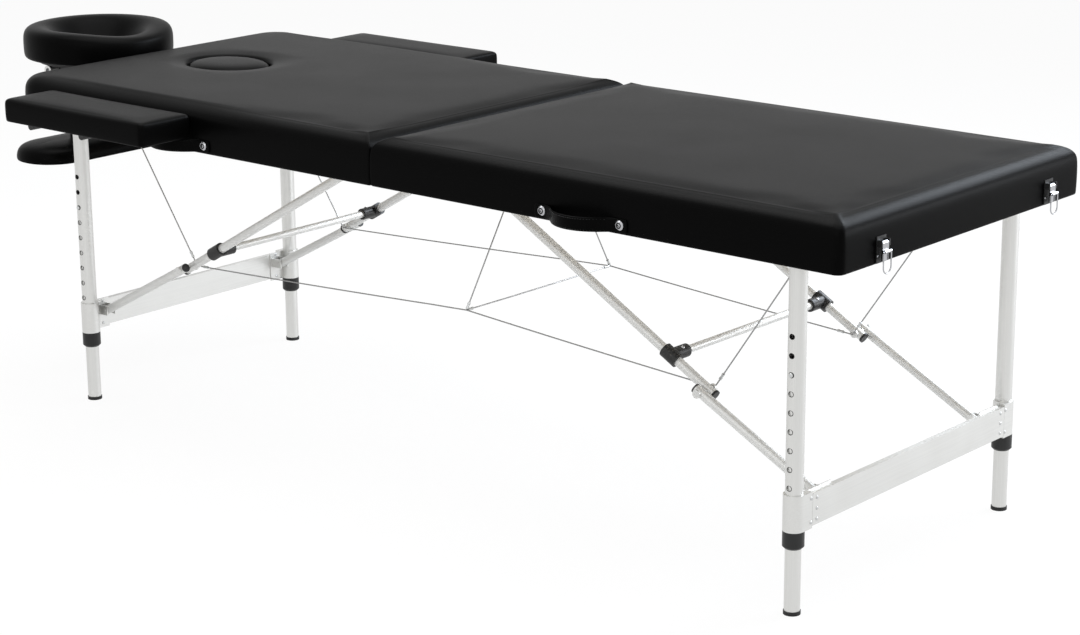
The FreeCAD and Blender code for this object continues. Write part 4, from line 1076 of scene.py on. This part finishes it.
def fit_out(name, tree, body, slot, spots, material, **sizes):
    """One mesh of a fitting at every spot: its place, the way it faces and the way it runs."""
    data = bpy.data.meshes.new(name)
    data.from_pydata([place for place, _, _ in spots], [], [])
    for number, label in enumerate(("facing", "run"), 1):
        layer = data.attributes.new(label, "FLOAT_VECTOR", "POINT")
        for spot, entry in zip(spots, layer.data):
            entry.vector = spot[number]
    thing = bpy.data.objects.new(name, data)
    bpy.context.scene.collection.objects.link(thing)
    modifier = thing.modifiers.new("Fittings", "NODES")
    modifier.node_group = tree
    settings = {label.replace("_", " "): size for label, size in sizes.items()} | {"Material": material}
    for item in tree.interface.items_tree:
        if item.in_out == "INPUT" and item.name in settings:
            modifier[item.identifier] = settings[item.name]
    bake_modifiers(thing)
    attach(thing, body)
    return thing


def cup_screws(name, body, spots, radius):
    """Cup washers with their screws, and dark discs and bars of painted shade for the gap round each screw
    and the cross recess in it.
    """
    height = radius * 0.26
    fit_out(name, CUP_SCREWS, body, "chrome", spots, CHROME, Radius=radius, Height=height)
    arms, gap_shades = [], []
    for place, facing, run in spots:
        top = tuple(Vector(place) + Vector(facing) * (height * 1.42))
        arms += [(top, facing, run), (top, facing, tuple(Vector(facing).cross(Vector(run))))]
        gap_shades.append((tuple(Vector(place) + Vector(facing) * height), facing, run))
    # The shade in the gap and in the cross recess is painted with near-black discs and bars.
    fit_out(f"{name}_gap", DISCS, body, "chrome", gap_shades, SLOT_SHADE,
            Radius=radius * 0.64, Thickness=height * 0.12)
    fit_out(f"{name}_recess", BARS, body, "chrome", arms, SLOT_SHADE,
            Length=radius * 0.5, Width=radius * 0.14, Thickness=height * 0.25)


LEG_AXES = {"head": (-0.688, 0.264), "foot": (0.974, 0.300)}
SLEEVE_RADIUS = 0.017
SLEEVE_Z = 0.163
FLANGE_RIVETS = ((0.0205, (-0.019, 0.019)), (0.036, (-0.017, 0.0, 0.017)))
BACK_PLATE = 0.005
BACK_RIVETS = (0.229, (-0.0205, 0.0238))
TEE = (0.527, 0.3287)
TEE_SOCKET = (0.186, 0.011)
STRUT_UP = (0.4957, 0.8685)


def frame_rivets():
    """Rivets of the crossbar's flanges and back plates, and of the tees."""
    for end, way in ENDS.items():
        leg_x, leg_y = LEG_AXES[end]
        rows = [(leg_x + way * SLEEVE_RADIUS, leg_y - inward, rises, way) for inward, rises in FLANGE_RIVETS]
        rows.append((leg_x + way * BACK_PLATE, *BACK_RIVETS, -way))
        spots = [((x, side * y, SLEEVE_Z + rise), (facing, 0.0, 0.0), UPWARD)
                 for side in SIDES.values() for x, y, rises, facing in rows for rise in rises]
        fit_out(f"{end}_frame_rivets", RIVETS, f"{end}_legs", "aluminium", spots, ZINC,
                Radius=0.003, Height=0.0015)
        socket_y, reach = TEE_SOCKET
        up = (way * STRUT_UP[0], 0.0, STRUT_UP[1])
        x, z = HINGE_X + way * TEE[0] + reach * up[0], TEE[1] + reach * up[2]
        tops = [((x, side * socket_y, z), up, ALONG_Y) for side in SIDES.values()]
        fit_out(f"{end}_tee_rivets", RIVETS, f"{end}_brace", "steel", tops, CHROME,
                Radius=0.0034, Height=0.0018)


HOLE_TOP = 0.4383
HOLE_PITCH = 0.0294
HOLE_COUNT = 9
HOLE_SHADE_OUT = 0.0136


def hole_shade_rims():
    """A dark rim set into each adjusting hole, just wide enough for the snap button: painted shade of the
    hole's wall.
    """
    for end in ENDS:
        leg_x, leg_y = LEG_AXES[end]
        y = leg_y + HOLE_SHADE_OUT
        spots = [((leg_x, side * y, HOLE_TOP - number * HOLE_PITCH), OUTWARD[label], ALONG_X)
                 for label, side in SIDES.items() for number in range(HOLE_COUNT)]
        # Near-black rims stand for the shade inside the holes.
        fit_out(f"{end}_hole_shade_rims", RIMS, f"{end}_legs", "plastic", spots, SLOT_SHADE,
                Radius=0.00435, Thickness=0.0005)


BRACKET_SCREW_Z = 0.598
LEG_BRACKET_SCREWS = [(x, y) for x in (-0.0165, 0.0165) for y in (-0.0075, 0.0075)]
STRUT_BRACKET = (0.085, 0.208)
STRUT_BRACKET_SCREWS = (-0.012, 0.012)
HINGE_SCREW_Z = 0.549
HINGE_LEAF_Y = 0.200
HINGE_SCREWS = ((0.013, -0.017), (0.013, 0.017), (0.022, 0.0))
HANDLE_SCREWS = (-0.0775, 0.0775)
HANDLE_SCREW_RISE = Vector((0.0, 0.0, 0.001))
HANDLE_SCREW_TURN = (0.94, 0.0, 0.34)
LATCH_Y = 0.238
LATCH_BASE = (1.075, 0.563)
CATCH_HOOK = (-0.789, 0.565)
TILT_BOLT = (-0.955, 0.1188, 0.588)
TILT_BOLT_TURN = (0.7, 0.0, 0.7)


def latch_screws(name, end, place, apart, **sizes):
    """Two small screws beside the middle of each latch base or catch hook."""
    x, z = place
    spots = [((x, side * LATCH_Y + shift, z), (ENDS[end], 0.0, 0.0), ALONG_Y)
             for side in SIDES.values() for shift in (-apart, apart)]
    fit_out(name, RIVETS, f"{end}_panel", "chrome", spots, CHROME, **sizes)


def panel_screws():
    """Screws of the brackets, hinge leaves, latch bases, catch hooks, handle tabs and tilt bolt."""
    for end, way in ENDS.items():
        leg_x, leg_y = LEG_AXES[end]
        places = []
        for side in SIDES.values():
            places += [(leg_x + x, side * leg_y + y, BRACKET_SCREW_Z) for x, y in LEG_BRACKET_SCREWS]
            places += [(HINGE_X + way * STRUT_BRACKET[0] + x, side * STRUT_BRACKET[1], BRACKET_SCREW_Z)
                       for x in STRUT_BRACKET_SCREWS]
            places += [(HINGE_X + way * x, side * HINGE_LEAF_Y + y, HINGE_SCREW_Z) for x, y in HINGE_SCREWS]
        spots = [(place, DOWNWARD, ALONG_X) for place in places]
        fit_out(f"{end}_bracket_screws", RIVETS, f"{end}_panel", "steel", spots, ZINC,
                Radius=0.0032, Height=0.0012)
        tabs = []
        for along in HANDLE_SCREWS:
            place, outward, half = handle_frame(HANDLE_MIDDLES[end], along)
            face = place + outward * half + HANDLE_SCREW_RISE
            tabs.append((tuple(face), OUTWARD["near"], HANDLE_SCREW_TURN))
        cup_screws(f"{end}_handle_screws", f"{end}_panel", tabs, radius=0.0078)
    latch_screws("latch_screws", "foot", LATCH_BASE, apart=0.0101, Radius=0.0017, Height=0.001)
    latch_screws("hook_screws", "head", CATCH_HOOK, apart=0.008, Radius=0.0024, Height=0.0012)
    x, y, z = TILT_BOLT
    bolt_ends = [((x, side * y, z), OUTWARD[label], TILT_BOLT_TURN) for label, side in SIDES.items()]
    cup_screws("tilt_bolt_ends", "headrest_base", bolt_ends, radius=0.0068)


STAPLE_CELLS = (92, 66)
STAPLE_PITCH = 4
STAPLE_INSET = 0.0105
STAPLE_Z = HEM_LOW - 0.0002
LEAST_RUN = 0.0001


def hem_staples():
    """Staples that hold the turned-under hem to the rails, in line with the edge."""
    for end, (xs, corners) in PANEL_PLANS.items():
        ring = Plan(xs, PANEL_Y, corners, STAPLE_CELLS).ring(STAPLE_INSET)
        spots = []
        for number in range(0, len(ring), STAPLE_PITCH):
            (x, y), (next_x, next_y) = ring[number], ring[(number + 1) % len(ring)]
            run = Vector((next_x - x, next_y - y, 0.0))
            if run.length > LEAST_RUN:
                spots.append(((x, y, STAPLE_Z), DOWNWARD, tuple(run.normalized())))
        fit_out(f"{end}_hem_staples", BARS, f"{end}_panel", "steel", spots, ZINC,
                Length=0.010, Width=0.0011, Thickness=0.0009)


HANDLE_STITCHES = range(-13, 14)
HANDLE_STITCH_PITCH = 0.0043
HANDLE_STITCH_ROWS = (-0.0084, 0.0084)
STITCH_SINK = 0.94
STRAP_STITCHES = 7
STRAP_STITCH_START = 0.003
STRAP_STITCH_PITCH = 0.004
STRAP_STITCH_ROWS = (0.4700, 0.4745, 0.5600)


def sewn_lines():
    """Rows of stitches along the handles' bows and across the arm shelf's straps."""
    for end, middle in HANDLE_MIDDLES.items():
        spots = []
        for number in HANDLE_STITCHES:
            place, outward, half = handle_frame(middle, number * HANDLE_STITCH_PITCH)
            face = place + outward * (half * STITCH_SINK)
            spots += [(tuple(face + Vector((0.0, 0.0, rise))), tuple(outward), (-outward.y, outward.x, 0.0))
                      for rise in HANDLE_STITCH_ROWS]
        fit_out(f"{end}_handle_stitches", STITCHES, f"{end}_panel", "leather", spots, THREAD,
                Half_length=0.0016, Half_width=0.00042)
    start = STRAP_X[0] + STRAP_STITCH_START
    spots = []
    for side in SIDES.values():
        for face in (-1.0, 1.0):
            y = side * ROD_Y + face * (ROD_WRAP + STRAP_THICK / 2)
            spots += [((start + STRAP_STITCH_PITCH * number, y, z), (0.0, face, 0.0), ALONG_X)
                      for number in range(STRAP_STITCHES) for z in STRAP_STITCH_ROWS]
    fit_out("strap_stitches", STITCHES, "headrest_base", "webbing", spots, THREAD,
            Half_length=0.0015, Half_width=0.0004)


KNEE_FERRULE = 0.024
ANCHOR_FERRULE = 0.018
HANGER_FERRULE = 0.008
CROSS_FERRULE = 0.010


def cable_ferrules():
    """Crimped sleeves beside the knees, under the deck and where the cables meet."""
    spots = {end: [] for end in ENDS}

    def sleeve(end, first, last, away):
        line = (Vector(last) - Vector(first)).normalized()
        place = Vector(first) + line * away
        spots[end].append((tuple(place), tuple(line), tuple(line.orthogonal().normalized())))

    for side in SIDES.values():
        knees, anchors, junction, seam, hanger = cable_fixings(side)
        for end, inner in (("head", seam), ("foot", junction)):
            sleeve(end, knees[end], anchors[end], KNEE_FERRULE)
            sleeve(end, knees[end], inner, KNEE_FERRULE)
            sleeve(end, anchors[end], knees[end], ANCHOR_FERRULE)
        sleeve("foot", junction, hanger, HANGER_FERRULE)
        sleeve("foot", junction, (junction[0], 0.0, junction[2]), CROSS_FERRULE)
    for end, places in spots.items():
        ferrules = fit_out(f"{end}_cable_ferrules", FERRULES, f"{end}_panel", "steel", places, ZINC,
                           Radius=0.0026, Length=0.012)
        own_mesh(ferrules)


# Finishes of the kept solids

END_FINISHES = {
    "deck": PLYWOOD, "rails": BEECH, "brackets": ZINC, "hinge_leaves": ZINC, "leg_tubes": TUBE_METAL,
    "leg_sleeves": BAR_METAL, "leg_collars": PLASTIC, "crossbar": BAR_METAL, "tees": PLASTIC,
    "upper_struts": UPPER_STRUT_METAL, "lower_struts": LOWER_STRUT_METAL,
}
LEG_FINISHES = {"inner_leg": TUBE_METAL, "foot_cap": RUBBER, "snap_button": ZINC}
SIDE_FINISHES = {"latch_lever": CHROME, "latch_bail": CHROME, "armrest_bracket": PLASTIC}
PLAIN_FINISHES = {
    "catch_hooks": CHROME, "latch_bases": PLASTIC, "headrest_rods": ROD_METAL, "headrest_plate": PLASTIC,
}


def paint_solids():
    finishes = dict(PLAIN_FINISHES)
    for end in ENDS:
        finishes |= {f"{end}_{kind}": material for kind, material in END_FINISHES.items()}
    for side in SIDES:
        finishes |= {f"{kind}_{side}": material for kind, material in SIDE_FINISHES.items()}
        for end in ENDS:
            finishes |= {f"{kind}_{end}_{side}": material for kind, material in LEG_FINISHES.items()}
    for node, material in finishes.items():
        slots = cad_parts[node].data.materials
        slots.clear()
        slots.append(material)


# Floor, light and camera

FLOOR_REACH = 40.0
FLOOR_WHITE = 0.93
WORLD_LIGHT = 0.45


def seen_rays(wire):
    """1 for rays from the camera and for what they mirror or pass through, else 0."""
    ray = wire.add("ShaderNodeLightPath").outputs
    onward = wire.math("MAXIMUM", ray["Is Glossy Ray"], ray["Is Transmission Ray"])
    return wire.math("MAXIMUM", ray["Is Camera Ray"], onward)


def floor_finish():
    """Pale floor that the camera sees as white, with the object's shadow kept."""
    material = bpy.data.materials.new("pale_floor")
    material.use_nodes = True
    nodes = material.node_tree.nodes
    nodes.remove(nodes["Principled BSDF"])
    wire = Wiring(material.node_tree)
    matt = wire.get("ShaderNodeBsdfDiffuse", {"Color": grey(0.88)})
    white = wire.get("ShaderNodeEmission", {"Color": grey(1.0)})
    share = wire.times(seen_rays(wire), FLOOR_WHITE)
    mixed = wire.get("ShaderNodeMixShader", {0: share, 1: matt, 2: white})
    wire.feed(nodes["Material Output"], Surface=mixed)
    return material


def make_floor():
    mesh = bmesh.new()
    corners = ((-1, -1), (1, -1), (1, 1), (-1, 1))
    mesh.faces.new([mesh.verts.new((x * FLOOR_REACH, y * FLOOR_REACH, 0.0)) for x, y in corners])
    finish_mesh("studio_floor", mesh, floor_finish(), False)


def make_world():
    """White all round, dimmer as a light than as it is seen."""
    world = bpy.data.worlds.new("studio")
    bpy.context.scene.world = world
    world.use_nodes = True
    wire = Wiring(world.node_tree)
    background = world.node_tree.nodes["Background"]
    background.inputs["Color"].default_value = grey(1.0)
    wire.feed(background, Strength=wire.ramp(seen_rays(wire), 0.0, 1.0, WORLD_LIGHT, 1.0))


def make_lamp(name, place, target, size, watts, tint=(1.0, 1.0, 1.0)):
    """A rectangular softbox turned to its target."""
    data = bpy.data.lights.new(name, "AREA")
    data.shape = "RECTANGLE"
    data.size, data.size_y = size
    data.energy = watts
    data.color = tint
    lamp = bpy.data.objects.new(name, data)
    lamp.location = place
    lamp.rotation_euler = (Vector(target) - Vector(place)).to_track_quat("-Z", "Y").to_euler()
    bpy.context.scene.collection.objects.link(lamp)


CAMERA_PLACE = Vector((3.060, -3.299, 1.490))
CAMERA_HEADING = math.radians(130.749)
CAMERA_TILT = math.radians(-15.715)
CAMERA_ROLL = math.radians(-0.431)
CAMERA_LENS = 86.0
CAMERA_SENSOR = 36.0


def make_camera():
    level = math.cos(CAMERA_TILT)
    ahead = Vector((
        math.cos(CAMERA_HEADING) * level, math.sin(CAMERA_HEADING) * level, math.sin(CAMERA_TILT),
    ))
    data = bpy.data.cameras.new("camera")
    data.lens = CAMERA_LENS
    data.sensor_width = CAMERA_SENSOR
    camera = bpy.data.objects.new("camera", data)
    turn = ahead.to_track_quat("-Z", "Y").to_matrix().to_4x4() @ Matrix.Rotation(CAMERA_ROLL, 4, "Z")
    camera.matrix_world = Matrix.Translation(CAMERA_PLACE) @ turn
    bpy.context.scene.collection.objects.link(camera)
    bpy.context.scene.camera = camera


paint_solids()
make_panels()
make_headrest_ring()
make_armrests()
make_arm_shelf()
make_face_plug()
make_handles()
make_straps()
make_cables()
frame_rivets()
hole_shade_rims()
panel_screws()
hem_staples()
sewn_lines()
cable_ferrules()
make_floor()
make_world()
make_lamp("overhead_softbox", (0.0, 0.0, 2.9), (0.0, 0.0, 0.5), (3.6, 2.4), 95.0)
make_lamp("front_softbox", (1.2, -3.4, 2.2), (0.1, 0.0, 0.4), (3.4, 2.4), 26.0)
make_lamp("end_softbox", (1.4, 2.5, 2.3), (0.95, 0.0, 0.6), (2.4, 1.2), 110.0, (0.84, 0.91, 1.0))
make_lamp("end_fill", (3.2, 2.6, 0.9), (1.0, 0.0, 0.5), (1.6, 1.0), 40.0, (0.92, 0.95, 1.0))
make_camera()
bpy.context.scene.view_settings.view_transform = "Standard"
